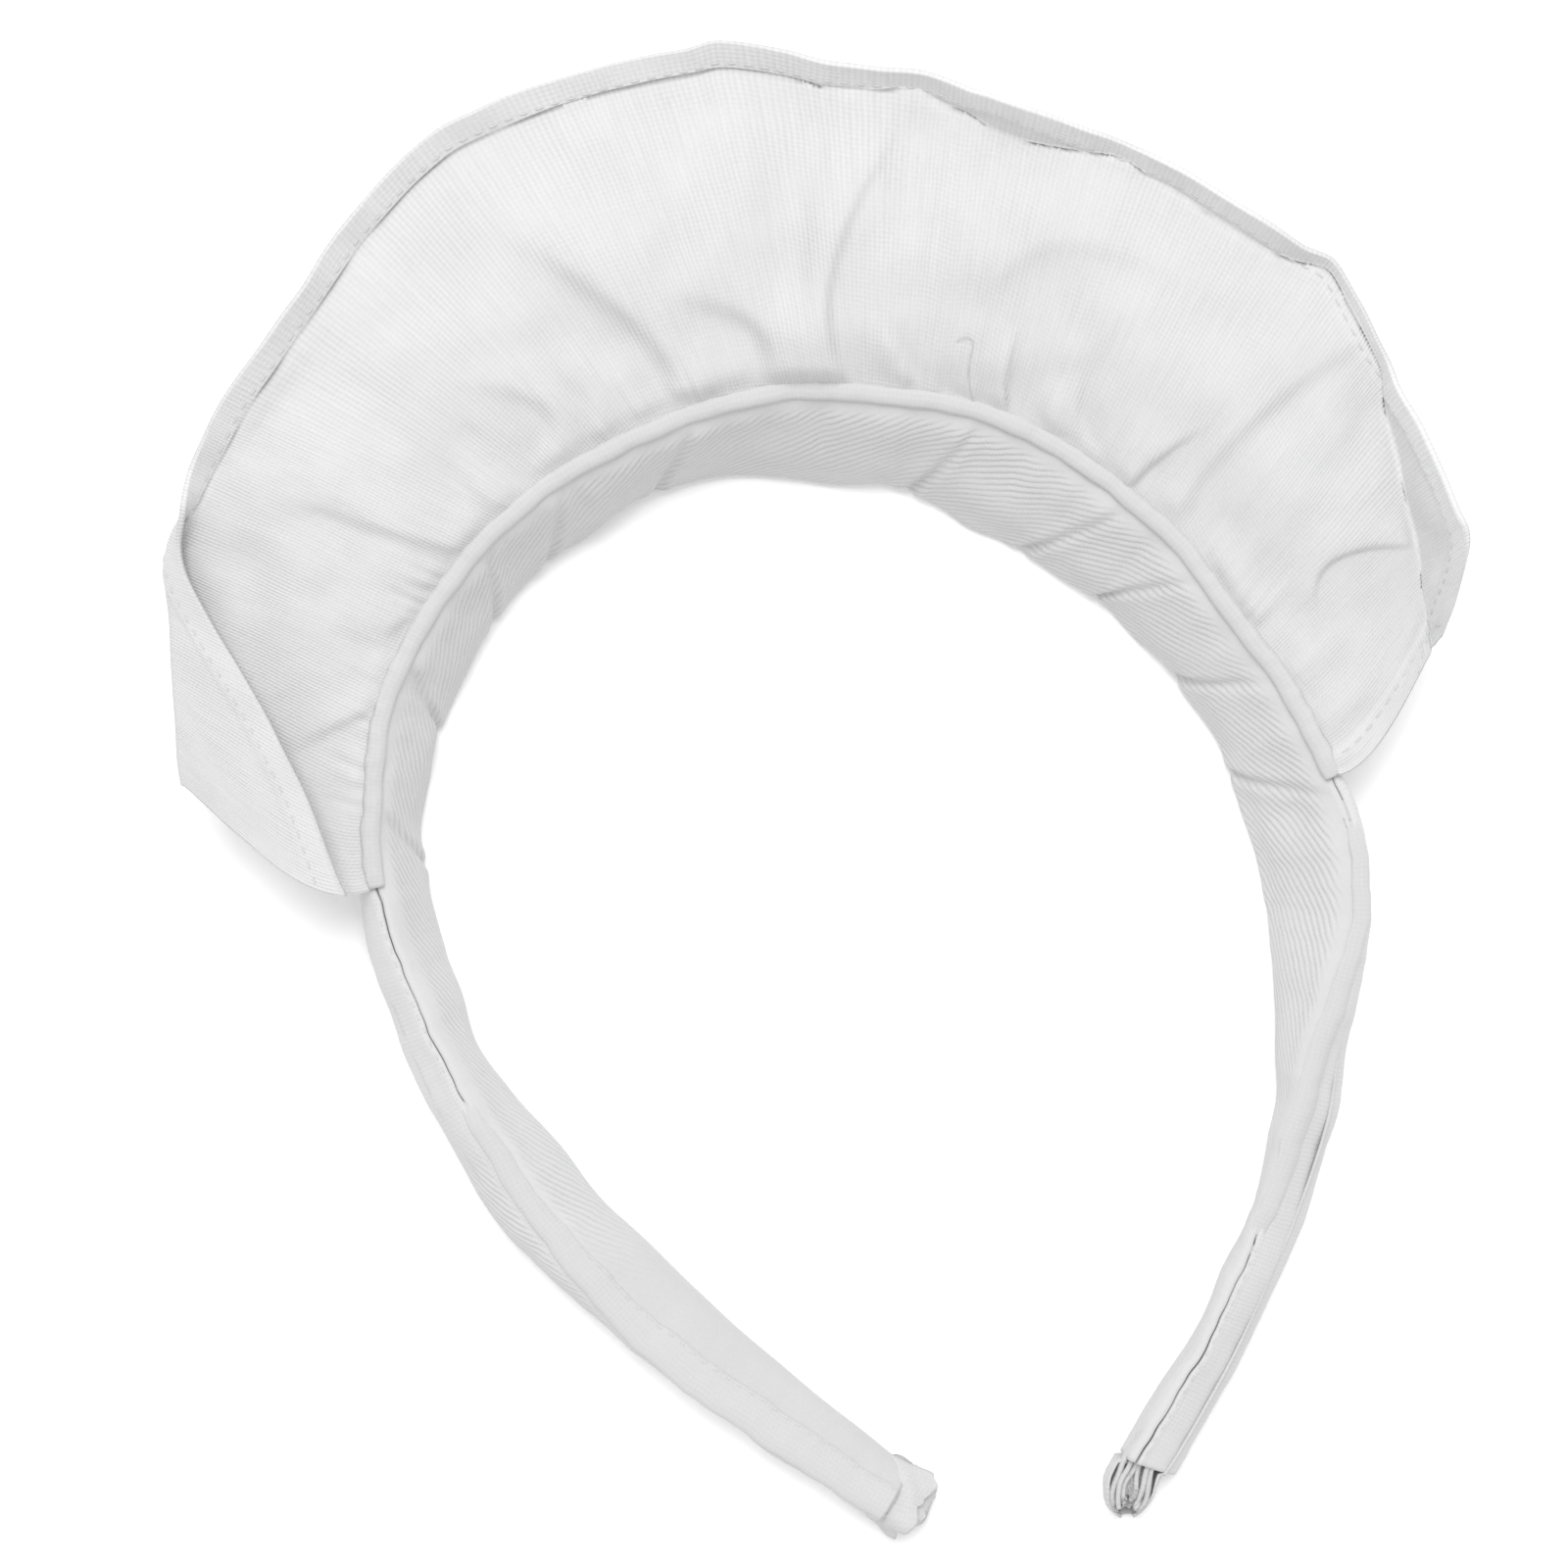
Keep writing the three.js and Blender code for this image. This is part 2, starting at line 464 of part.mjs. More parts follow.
function makeBand() {
  const tube = [
    ...evenly(TUBE_START, SEAM_START, BAND_STEPS.left),
    ...evenly(SEAM_START, SEAM_END, BAND_STEPS.seam).slice(1),
    ...evenly(SEAM_END, TUBE_END, BAND_STEPS.right).slice(1),
  ];
  const layers = [
    ...TIPS.filter((tip) => tip.along < TUBE_START).map((tip) => tip.along),
    ...evenly(TUBE_START - GAP, TUBE_END + GAP, FILLING_STEPS),
    ...TIPS.filter((tip) => tip.along > TUBE_END).map((tip) => tip.along),
  ];
  const lining = bandWall(tube, (section, along) => liningOutline(section, puckerAt(along)), BAND_CLOTH);
  const cover = bandWall(tube, coverOutline, BAND_CLOTH);
  const filling = bandWall(layers, (section, along) => {
    const tip = TIPS.find((row) => row.along === along);
    return tip ? tipOutline(section, tip) : fillingOutline(section, leastPuckerNear(along));
  }, FILLING_CLOTH);
  return { lining, cover, filling };
}

// The welt covers the joint of lining, back wall and frill on the front edge.
function makeWelt() {
  const upper = [];
  const lower = [];
  for (const along of evenly(SEAM_START, SEAM_END, WELT_STEPS)) {
    const section = bandSection(along);
    const base = section.depth + GAP;
    upper.push(WELT_OUTLINE.map(({ out, up }) => inSection(section, out, base + up)));
    lower.push(WELT_OUTLINE.map(({ foot }) => inSection(section, foot, base)));
  }
  return thickSheet(upper, lower);
}

// The frill's section before it is gathered: out to the fold line, round the
// turn and back along the flap. Each point knows its share of the way out
// (0 to 1 up to the fold line) and its distance from the hem.
function frillSection(seam) {
  const read = (column) => readTable(FRILL_SECTIONS, 'seam', seam, column);
  const band = bandSection(SEAM_START + (SEAM_END - SEAM_START) * seam);
  const root = inSection(band, SEAM_OFFSET, band.depth + GAP + FRILL_CLOTH / 2);
  const fold = new THREE.Vector3(read('foldX'), read('foldY'), read('foldZ'));
  const turn = THREE.MathUtils.degToRad(read('turn'));
  const ahead = fold.clone().sub(root);
  const length = ahead.length();
  ahead.normalize();
  const side = new THREE.Vector3(0, 0, 1).cross(ahead).normalize();
  const above = ahead.clone().cross(side);
  const mainLength = length - FOLD_RADIUS * Math.sin(Math.min(turn, Math.PI / 2));
  const turnLength = FOLD_RADIUS * turn;
  const flapLength = Math.max(read('flap') - turnLength, LEAST_FLAP);
  const at = (out, up) => {
    const way = THREE.MathUtils.clamp(out / mainLength, 0, 1);
    const bow = read('bow') * Math.sin(Math.PI * way ** BOW_PEAK);
    return root.clone().addScaledVector(ahead, out).addScaledVector(above, up).addScaledVector(side, bow);
  };
  const samples = [];
  for (const share of FRILL_ROWS) {
    const arch = read('crown') * Math.sin(Math.PI * share);
    const fromHem = mainLength * (1 - share) + turnLength + flapLength;
    samples.push({ point: at(mainLength * share, arch), share, fromHem });
  }
  for (let row = 1; row <= TURN_ROWS; row += 1) {
    const angle = (turn * row) / TURN_ROWS;
    const out = mainLength + FOLD_RADIUS * Math.sin(angle);
    const up = FOLD_RADIUS * (1 - Math.cos(angle));
    const fromHem = turnLength - FOLD_RADIUS * angle + flapLength;
    samples.push({ point: at(out, up), share: 1, fromHem });
  }
  const turnedOut = mainLength + FOLD_RADIUS * Math.sin(turn);
  const turnedUp = FOLD_RADIUS * (1 - Math.cos(turn));
  const hemStart = Math.max(flapLength - HEM_DEPTH, HEM_SHARES.first * flapLength);
  const hemEnd = Math.min(hemStart + HEM_STEP, HEM_SHARES.last * flapLength);
  for (const distance of [hemStart, hemEnd, flapLength].sort((a, b) => a - b)) {
    const point = at(turnedOut + Math.cos(turn) * distance, turnedUp + Math.sin(turn) * distance);
    samples.push({ point, share: 1, fromHem: flapLength - distance });
  }
  return samples;
}

// Height of the gathers over the smooth cloth.
function gatherHeight(seam, share) {
  let height = 0;
  for (const fold of MAIN_FOLDS) {
    const centre = fold.seam + ((fold.tip - fold.seam) * share) / fold.reach;
    const across = Math.exp(-(((seam - centre) / fold.width) ** 2));
    const length = ramp(share / FOLD_START) * (1 - ramp(share / fold.reach));
    height += fold.height * across * length;
  }
  const fade = ramp(share / FOLD_START) * (1 - ramp(share / FINE_GATHER_REACH));
  return height + FINE_GATHER_HEIGHT * fade * Math.sin(2 * Math.PI * FINE_GATHERS * seam);
}

// Unit normals of a grid of points, on the side that the sheet's upper faces look to.
function gridNormals(grid) {
  return grid.map((line, row) => line.map((_, column) => {
    const back = grid[Math.max(row - 1, 0)][column];
    const ahead = grid[Math.min(row + 1, grid.length - 1)][column];
    const left = line[Math.max(column - 1, 0)];
    const right = line[Math.min(column + 1, line.length - 1)];
    return ahead.clone().sub(back).cross(right.clone().sub(left)).normalize();
  }));
}

function makeFrill() {
  const samples = [];
  for (let step = 0; step <= FRILL_STEPS; step += 1) {
    samples.push(frillSection(step / FRILL_STEPS));
  }
  const smooth = samples.map((line) => line.map((sample) => sample.point));
  const lift = gridNormals(smooth);
  const middle = smooth.map((line, row) => line.map((point, column) => {
    const gather = gatherHeight(row / FRILL_STEPS, samples[row][column].share);
    return point.clone().addScaledVector(lift[row][column], gather);
  }));
  const normals = gridNormals(middle);
  const shifted = (side) => middle.map((line, row) => line.map((point, column) => {
    const hem = 1 - ramp((samples[row][column].fromHem - HEM_DEPTH) / HEM_STEP);
    const thickness = THREE.MathUtils.lerp(FRILL_CLOTH, HEM_CLOTH, hem);
    return point.clone().addScaledVector(normals[row][column], (side * thickness) / 2);
  }));
  return thickSheet(shifted(1), shifted(-1));
}

function addPiece(group, name, geometry, colour) {
  const material = new THREE.MeshStandardMaterial({ color: colour, ...COTTON });
  const mesh = new THREE.Mesh(geometry, material);
  mesh.name = name;
  group.add(mesh);
}

const headband = new THREE.Group();
const cloth = new THREE.Group();
headband.add(cloth);
const band = makeBand();
addPiece(cloth, 'band_lining', band.lining, 0xe4e5e6);
addPiece(cloth, 'band_cover', band.cover, 0xecedee);
addPiece(cloth, 'band_filling', band.filling, 0xe2e2e2);
addPiece(cloth, 'seam_welt', makeWelt(), 0xe9eaeb);
addPiece(cloth, 'frill', makeFrill(), 0xf0f1f2);

// The origin lies on the floor, under the middle of the outline.
const middle = new THREE.Box3().setFromObject(cloth).getCenter(new THREE.Vector3());
cloth.position.set(-middle.x, -middle.y, 0);

export default headband;
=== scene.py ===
import math

import bpy
import numpy as np
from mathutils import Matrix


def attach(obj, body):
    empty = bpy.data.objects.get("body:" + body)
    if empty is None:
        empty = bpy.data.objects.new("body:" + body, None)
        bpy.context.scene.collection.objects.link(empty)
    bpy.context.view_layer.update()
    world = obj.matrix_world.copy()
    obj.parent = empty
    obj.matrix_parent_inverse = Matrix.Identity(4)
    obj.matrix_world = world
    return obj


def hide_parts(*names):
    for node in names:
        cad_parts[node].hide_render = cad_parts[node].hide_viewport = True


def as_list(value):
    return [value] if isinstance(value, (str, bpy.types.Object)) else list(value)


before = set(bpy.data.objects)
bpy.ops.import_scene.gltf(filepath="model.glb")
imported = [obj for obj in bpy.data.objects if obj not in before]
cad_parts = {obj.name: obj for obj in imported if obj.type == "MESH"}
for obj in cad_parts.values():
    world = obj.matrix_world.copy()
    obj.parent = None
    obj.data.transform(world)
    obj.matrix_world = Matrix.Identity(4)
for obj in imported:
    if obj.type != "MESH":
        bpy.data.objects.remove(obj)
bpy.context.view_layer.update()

# The looks of a white cotton maid headband that lies on the rear edge of its band.
# Tables and sizes are in millimetres, in the plan that the solids were charted in.
MM = 0.001
FULL_TURN = 2 * math.pi
PLAN_SHIFT = np.array([-5.858, 4.444, 0.0])

# Cloth thicknesses. The solids' cloth is thicker, and their pieces stay apart by CLEAR.
BAND_CLOTH = 0.8
COVER_CLOTH = 0.7
LAYER_CLOTH = 0.4
TIP_CLOTH = 0.6
LIP_CLOTH = 0.22
FRILL_CLOTH = 0.4
HEM_EXTRA = 0.2
CLEAR = 0.3
SOLID_CLOTH = 1.1

# Where the tube and the frill's seam start and end along the band's front edge
TUBE_START = 0.0
TUBE_END = 395.0
SEAM_START = 110.0
SEAM_END = 297.0

# Flat sizes of the cut cloth
FRILL_FLAT = (250.0, 50.0)
LINING_FLAT = (396.0, 27.0)
COVER_FLAT = (396.0, 18.0)
FILLING_FLAT = (404.0, 20.0)


def table(names, rows):
    """The named columns of a table of rows."""
    return dict(zip(names.split(), np.array(rows, float).T))


# The band from the left tip over the top to the right tip: distance along the front
# edge, its place, the band's depth, how far the inner wall leans in at its foot and
# how far the back wall stands out
BAND = table("along x y depth inner back", [
    (-5, 3.4, -101.5, 8, 5.8, 1.6),
    (0, -0.1, -97.8, 8.5, 5.8, 1.4),
    (19, -14.5, -85.2, 9, 7.3, 0.5),
    (38, -27.9, -71.8, 9.8, 9, 1.4),
    (60, -39.6, -53.3, 11, 7, 4.7),
    (79, -47.2, -36.2, 12.2, 4.5, 5.1),
    (86, -49.5, -29.5, 12.7, 3.2, 4.9),
    (93, -51.5, -22.7, 13.2, 4.6, 4.6),
    (99, -53, -16.8, 13.6, 4.6, 4.2),
    (110, -54.6, -5.9, 14.6, 5.2, 3),
    (120, -53.8, 4, 15.2, 4.8, 1.6),
    (137, -48.8, 19.8, 16.4, 6, 1),
    (157, -36.6, 34.7, 17.4, 5.6, 0.8),
    (168, -27.6, 41, 17.8, 4.9, 0.7),
    (178, -18.6, 45.4, 18, 6.2, 0.6),
    (199, 1.6, 50.2, 18, 8.4, 0),
    (214, 16.6, 48.9, 18, 9.4, -0.2),
    (233, 35.2, 42.6, 18, 12, -0.4),
    (256, 52.6, 27.2, 17.4, 10.6, -0.2),
    (271, 60.4, 14.5, 16.8, 8.7, 0.2),
    (284, 66.6, 3.2, 16, 9.2, 0.4),
    (297, 71.1, -9, 15.2, 10.6, 0.6),
    (305, 72.9, -17.2, 14.7, 11.2, 0.9),
    (314, 72.6, -26.2, 14.2, 10.9, 1.6),
    (323, 69.8, -34, 13.6, 8.6, 2.9),
    (334, 65, -43.4, 12.6, 4.3, 4.5),
    (344, 61, -52.4, 12, 1.3, 5.8),
    (357, 55.6, -63.9, 11, -0.4, 5.6),
    (367, 50.6, -72.6, 10.4, 0.1, 5.5),
    (377, 45.1, -81.2, 9.8, 0.4, 5.5),
    (386, 39.4, -88.4, 9.4, 0.6, 5.8),
    (395, 33.7, -95.6, 9, 0.7, 5.7),
    (399, 32.4, -99.4, 8.4, 0.4, 3.6),
    (403, 31.9, -103.4, 7.6, 0.4, 2.4),
])

# The inner wall from the ridge's groove over its lip down to the floor and the foot:
# share of the inner lean, swell, share of the pucker, share of the depth, height
LINING_OUTLINE = table("lean swell pull rise up", [
    (0, 0, 0, 1, -0.4),
    (0, 0.04, 0, 1, -0.12),
    (0, 0.5, 0, 1, 0.1),
    (0, 1.15, 0, 1, -0.3),
    (0.2, 1.3, 0.15, 0.87, 0),
    (0.38, 1.3, 0.5, 0.72, 0),
    (0.7, 1.3, 0.95, 0.42, 0),
    (0.88, 0.9, 0.88, 0.2, 0),
    (1, 0.2, 1, 0, 1.3),
    (1, -0.9, 1, 0, 0.02),
])

# The back wall from low down up over its lip and into the groove: share of the
# section's back, distance out, share of the depth, height
COVER_OUTLINE = table("swing out rise up", [
    (1, 0, 0.22, 0),
    (1, 0.4, 0.45, 0),
    (0.5, 1.2, 0.74, 0),
    (0.15, 1.25, 0.9, 0),
    (0, 1.15, 1, -0.4),
    (0, 0.5, 1, 0.06),
    (0, 0.04, 1, -0.12),
    (0, 0, 1, -0.4),
])

# The groove between the two walls' lips: half its width
GROOVE = table("along gape", [
    (0, 0.06), (20, 0.015), (70, 0.01), (84, 0.02), (98, 0.05), (106, 0.14), (110, 0.16),
    (114, 0.04), (297, 0.04), (303, 0.02), (356, 0.02), (364, 0.08), (385, 0.1),
    (395, 0.16),
])
FOOT_THICKNESS = 4.6
FOOT_TUCK = 1.3
FOOT_CLEAR = 0.5
FLOOR_CLEAR = 0.02
SECTION_STEP = 0.5
LEAST_STEP = 0.15

# How far each pucker draws the inner wall in at its foot
PUCKERS = table("along pull", [
    (-5, 0), (104, 0), (111, -0.2), (119, 0.1), (126, 0.7), (131, -0.4), (136, 0.3),
    (145, 0.2), (151, -0.3), (160, 0.6), (165, 0.7), (170, 1.6), (176, 0.2), (181, -1.5),
    (187, -1.2), (194, -0.7), (202, 0.4), (212, 1.2), (220, -0.6), (228, 0), (235, 0.9),
    (243, 0.4), (251, 0.7), (257, 0.2), (267, 1.2), (273, 0), (278, 0.6), (290, -0.2),
    (297, 0.5), (305, 0.2), (313, 0), (403, 0),
])

# The puckers run slantwise up the wall, and a crease starts where two of them meet
PUCKER_SLANT = 9.0
CREASE_DEPTH = 0.75
CREASE_WIDTH = 0.9
BULGE_WIDTH = 2.6
CREASE_SHARPNESS = 1.6
CREASE_FADE = 0.6
CREASE_SEARCH = 900

# The inner wall is drawn in finely along the seam
DRAW_HEIGHT = 0.12
DRAW_PITCH = 6.3
DRAW_PAST = 10

# The open bag that the layers form past the tube's ends: its inner and back sides,
# and the heights of its upper edges and its bottom as shares of the depth
TIPS = table("along inner back top low", [
    (-5, -3.9, -0.9, 0.5, 0.2),
    (-4.3, -5.7, 1, 0.66, 0.14),
    (-2.8, -6.3, 2.5, 0.76, 0.1),
    (-0.9, -6.1, 2.5, 0.8, 0.1),
    (395.9, -2.2, 3.9, 0.8, 0.1),
    (398.5, -2.8, 3.6, 0.8, 0.1),
    (400.8, -2.6, 2.9, 0.74, 0.14),
    (402.2, -1.7, 1.6, 0.6, 0.2),
    (403, -0.7, 0.7, 0.48, 0.28),
])

# Outlines of the layers past the left and the right end: share of the way from the
# inner to the back side, share of the way up
LEFT_LAYER = table("across rise", [
    (0, 0.05), (0.14, 0.4), (0.36, 0.74), (0.56, 0.98), (0.72, 1), (0.88, 0.66),
    (0.96, 0.1),
])
RIGHT_LAYER = table("across rise", [
    (0.04, 1), (0, 0.5), (0.05, 0.16), (0.24, 0), (0.76, 0), (1, 0.4), (0.94, 1),
])

# Each loose layer: its end of the tube, how far it sits in from the bag's sides, how much
# shorter it is, its height as a share of the bag's, its edge's raggedness and how deep its
# hollow is
TIP_LAYERS = table("end inset short height rag deep", [
    (-1, -0.5, 1.7, 1.08, 0.7, 1),
    (-1, 1, 0.9, 0.82, 0.6, 1),
    (1, 0.72, 1.2, 1.04, 0.4, 0.35),
    (1, 1.45, 1.8, 1.08, 0.5, 0.25),
    (1, 2.2, 2.4, 1.04, 0.5, 0.15),
])

TIP_ROOT = 5
TIP_TUCK = 0.9
LEAST_WIDTH = 3
LEAST_OPENING = 0.5

# The strip inside the tube: its sides, and its upper edges and bottom as shares of the depth
STRIP_LEAN = -0.5
STRIP_INNER = 2
STRIP_BACK = 1.3
STRIP_LEAST_BACK = 2.6
STRIP_TOP = 0.72
STRIP_LOW = 0.26

# Threads that fray off each loose layer
FRAYS = 9
FRAY_SEED = 27
FRAY_ROOTS = 12
FRAY_POINTS = 7
FRAY_LENGTHS = (0.4, 1.3)
FRAY_LEAN = 0.9
FRAY_SPREAD = 0.7
FRAY_CURL = 0.5
FRAY_THREAD = 0.05
FRAY_CLEAR = 0.1

# Edges where the back wall's cloth is folded over the ridge: how far it reaches down
# the inner wall and the back wall
LEFT_EDGE = table("along inner back", [
    (0.2, 3.4, 0.4), (14, 3.8, 0.5), (30, 3.6, 0.5), (46, 2.7, 0.5), (60, 1.7, 0.5),
    (70, 1, 0.4), (82, 0.2, 0.2),
])
RIGHT_EDGE = table("along inner back", [
    (300, 0.1, 0.1), (311, 0.2, 0.3), (322, 0.3, 0.7), (335, 0.35, 1.5), (346, 0.3, 1.6),
    (356, 0.25, 0.8), (364, 0.1, 0.1),
])
EDGE_LIP = 1.05
EDGE_POINTS = (8, 16)
EDGE_LIFT = 0.04
EDGE_RISE = 0.3
EDGE_SQUARENESS = 8
EDGE_SINK = 0.25
EDGE_UNDER = 0.1

# The welt over the seam: distance out and height over the front edge
WELT_OUTLINE = table("out up", [
    (-0.76, -0.1), (-0.82, 0.25), (-0.62, 0.56), (-0.2, 0.78), (0.35, 0.88), (0.72, 0.86),
    (0.84, 0.7),
])

WELT_SEAT = 0.25
WELT_END_WIDTH = 0.75

# The frill along its seam: the line where the cloth turns, the turn's angle, the
# cloth beyond it, how far the cloth arches up before it and swings left halfway
FRILL = table("seam x y z turn flap crown bow", [
    (0, -77.6, 10.9, 16, 168, 30.4, 0.3, 3.4),
    (0.05, -77.1, 19.2, 17, 166, 25.2, 0.4, 1.8),
    (0.1, -76.2, 28.3, 18, 162, 16.6, 0.6, 0.4),
    (0.14, -75.4, 36, 19, 156, 9, 1, 0),
    (0.175, -73.8, 41.6, 21, 128, 5.2, 1.5, 0),
    (0.205, -70.2, 46.1, 24, 66, 4.6, 2, 0),
    (0.246, -64.9, 52.1, 26, 32, 4.1, 2.5, 0),
    (0.28, -60.9, 57.2, 27, 25, 3.9, 2.8, 0),
    (0.314, -53.3, 65.5, 27, 34, 4.1, 3, 0),
    (0.36, -42.6, 76.9, 27, 32, 4.1, 3, 0),
    (0.4, -31.9, 85.1, 27, 26, 3.9, 3, 0),
    (0.425, -23.7, 87.9, 27, 24, 3.9, 3, 0),
    (0.45, -15, 90, 27, 22, 3.5, 3, 0),
    (0.48, -6.1, 91, 27, 20, 3.5, 3, 0),
    (0.5, 0.7, 91.4, 27, 24, 3.5, 3, 0),
    (0.513, 5, 91.5, 27.5, 26, 3.9, 3, 0),
    (0.533, 12.8, 89.6, 27, 40, 4.2, 3, 0),
    (0.553, 19.3, 86.8, 28, 44, 4.6, 3, 0),
    (0.58, 28.8, 85.3, 28.5, 44, 3.6, 3, 0),
    (0.595, 32.3, 83, 28.5, 46, 5, 3, 0),
    (0.607, 35.2, 81.5, 28.5, 50, 5.3, 3, 0),
    (0.62, 38.3, 78.7, 28.5, 52, 7.6, 3, 0),
    (0.632, 41.5, 77.1, 28.5, 50, 7.2, 3, 0),
    (0.657, 48.7, 74.7, 28.5, 48, 4.7, 3, 0),
    (0.676, 53.9, 72.9, 29, 42, 2.9, 3, 0),
    (0.69, 57.2, 69.8, 29, 48, 4.5, 3, 0),
    (0.711, 62, 65.9, 29, 50, 5.1, 3, 0),
    (0.745, 68.9, 59.9, 29, 46, 5.1, 2.8, 0),
    (0.765, 73.6, 57, 29, 40, 3.1, 2.7, 0),
    (0.78, 77.5, 55.2, 29, 36, 2, 2.6, 0),
    (0.798, 79.5, 50.4, 28.5, 34, 1.9, 2.4, 0),
    (0.82, 81.5, 45.5, 28, 36, 2, 2.2, 0),
    (0.84, 82.9, 41.7, 27, 44, 2.8, 2, 0),
    (0.857, 83, 37.5, 25.5, 52, 5.2, 1.8, 0),
    (0.875, 83.7, 31.8, 24.5, 56, 8.5, 1.6, 0),
    (0.89, 84.4, 27.3, 23.5, 58, 10.8, 1.4, 0),
    (0.91, 84.8, 23, 22.7, 59, 12.9, 1.2, 0),
    (0.926, 85.2, 19.7, 22, 60, 14.2, 1, 0),
    (0.943, 85.6, 16.6, 21, 60, 15, 0.9, -0.4),
    (0.96, 85.5, 13, 20, 57, 13.3, 0.7, -0.8),
    (0.98, 85.8, 9.6, 19, 48, 8.5, 0.5, -1.4),
    (1, 85.8, 5.9, 18, 30, 3.1, 0.4, -1.9),
])
SOLID_RADIUS = 1.5
FOLD_RADIUS = 0.85
SEAM_OFFSET = 0.5
BOW_PEAK = 0.6
LEAST_FLAP = 0.8
OUT_SPREAD = 1.1
SLANT_CALM = 12
LEAST_SLANT = 0.4
# RAISED_STRIP_LIGHT is painted light: how far the "hem" attribute is raised on the frill's
# turned-up strips, so that the cloth there is painted lighter
RAISED_STRIP_LIGHT = 4

# Folds and valleys of the frill: start, middle and end of the crest, height, width,
# and how much steeper its left side is than its right
FOLDS = table("x0 y0 x1 y1 x2 y2 height width skew", [
    (-6.5, 51.4, -8.4, 60.1, -22.7, 73.4, 2, 3.2, 0.98),
    (5.1, 50.4, 6, 58.9, -3.9, 64.5, 1.5, 2.9, 0.98),
    (16.2, 48.5, 14, 61.5, 22.9, 77.4, 1.3, 3.2, -0.84),
    (12.4, 50, 13.2, 61.6, 14.2, 74.1, 0.54, 2.2, 0.2),
    (23.7, 48.7, 22.1, 52.7, 19.9, 57.4, 0.88, 1.9, -0.7),
    (-17.4, 47.4, -17.3, 53.3, -22.1, 58.6, 1.1, 2.3, 0.7),
    (-25.3, 44.7, -22.6, 52, -31.4, 56.7, 1.2, 2.2, 0.84),
    (-29, 39.4, -31.9, 41.6, -35.6, 47.3, 0.82, 2, 0.4),
    (-34.4, 35.8, -43.2, 39.1, -54, 44, 1.2, 2.2, 0.98),
    (-42.7, 26.8, -46.3, 28.6, -50, 26, 0.75, 1.9, 0.84),
    (-47.5, 18.5, -54.6, 16.9, -61.9, 14.2, 0.82, 1.4, 0.98),
    (35.7, 42.5, 35.4, 47.2, 37, 52.5, 1.1, 1.9, -0.98),
    (40.6, 39.8, 41.1, 42.6, 41.8, 46, 0.75, 1.8, 0.3),
    (46, 36, 43.7, 40.9, 44.6, 45.6, 0.88, 2.1, -0.7),
    (29.9, 45.2, 30.4, 47.9, 31.8, 54, 0.61, 1.9, 0),
    (48.9, 31, 52.2, 34.6, 58.1, 37.6, 1.1, 2.4, -0.84),
    (54.2, 27.1, 63.2, 37, 79.1, 46, 1.4, 4.6, -0.7),
    (64.4, 12.8, 61.7, 17, 60, 22.4, 0.68, 2, 0.4),
    (71, 14.1, 74.9, 19.5, 86.3, 18.7, 0.75, 2.4, -0.98),
    (59, 18.6, 66, 23.4, 71.9, 28.3, 0.54, 2.9, 0),
    (9.7, 49.3, 9.4, 55.9, 10.6, 62.1, 0.88, 3.3, 0),
    (-11.5, 49.7, -13, 52.9, -15.3, 56.5, 0.82, 2, 0.7),
    (-2.5, 50.3, -2.5, 53.3, -2.7, 57.8, 0.75, 2.1, 0.3),
    (0.7, 50.3, 1.4, 53.4, 0.4, 57.3, 0.61, 1.8, 0.3),
    (-39.1, 32.4, -42.8, 33.2, -47.3, 33.6, 0.61, 1.9, 0.3),
    (-45.1, 21.7, -48.5, 22, -52.2, 21.5, 0.54, 1.8, 0.3),
    (-50.5, 8.4, -54.2, 8.3, -58, 8.2, 0.54, 1.7, 0.3),
    (67.6, 4.7, 70.4, 6.6, 73.6, 9, 0.54, 2.1, 0.3),
    (69.7, -2.7, 72.2, -0.9, 76.1, 1.5, 0.54, 2, -0.3),
    (-61.9, 52.6, -51.5, 58.8, -32.2, 69.4, -1, 5.5, 0.4),
    (-46.4, 59.3, -31.8, 63, -16.5, 63.4, 0.68, 4.4, 0),
    (-13.1, 51.4, -17.1, 59.6, -21.2, 66.6, -0.68, 2.9, 0),
    (-3.2, 67.9, -3, 78, -3.5, 88.3, -0.75, 3.5, 0),
    (1, 66, 4, 78.3, 7.3, 88, 0.54, 3.7, 0),
    (9.2, 61, 10.8, 72.3, 11.3, 84.9, -0.68, 3.3, 0),
    (25.2, 66.4, 26.5, 75.1, 28.9, 83.7, -0.75, 3.3, 0.3),
    (32.5, 59, 32.8, 70.4, 34.6, 79.1, 0.54, 4.4, 0),
    (34.5, 59.4, 45.6, 63.6, 61.4, 55, 0.61, 4.8, -0.7),
    (43.2, 35.9, 45.4, 44.5, 50.3, 50.2, -0.68, 2.4, 0),
    (50.6, 29.8, 61.8, 37.1, 76.1, 43.4, -0.82, 4, 0),
    (66.9, 32.6, 71.9, 23, 79, 19.4, 0.54, 5.5, 0),
    (67.9, 3.2, 76, 7.1, 82.1, 13.9, -0.54, 4.4, 0),
    (-64.4, 39.6, -64.3, 29.4, -63.7, 21.7, -0.54, 3.3, 0),
    (-59.1, 41.4, -52.6, 41.7, -45.3, 39.4, -0.61, 2.6, 0.4),
    (-55.5, 30.7, -49.6, 27.3, -45.8, 26.8, 0.48, 3.7, 0),
    (-33, 50.4, -35.4, 46.9, -34.7, 43, -0.48, 2.2, 0),
    (-17.8, 81.4, -15.3, 72.1, -11.7, 61.4, 0.48, 3.7, 0),
    (-30.5, 81.9, -33.8, 76, -41.1, 69.4, 0.41, 5, 0),
    (55.6, 52, 62.8, 48.4, 70.6, 49.9, -0.48, 4.4, 0),
])

FOLD_STEEP = 0.4
FOLD_SHALLOW = 0.9
CREST_POINTS = 25

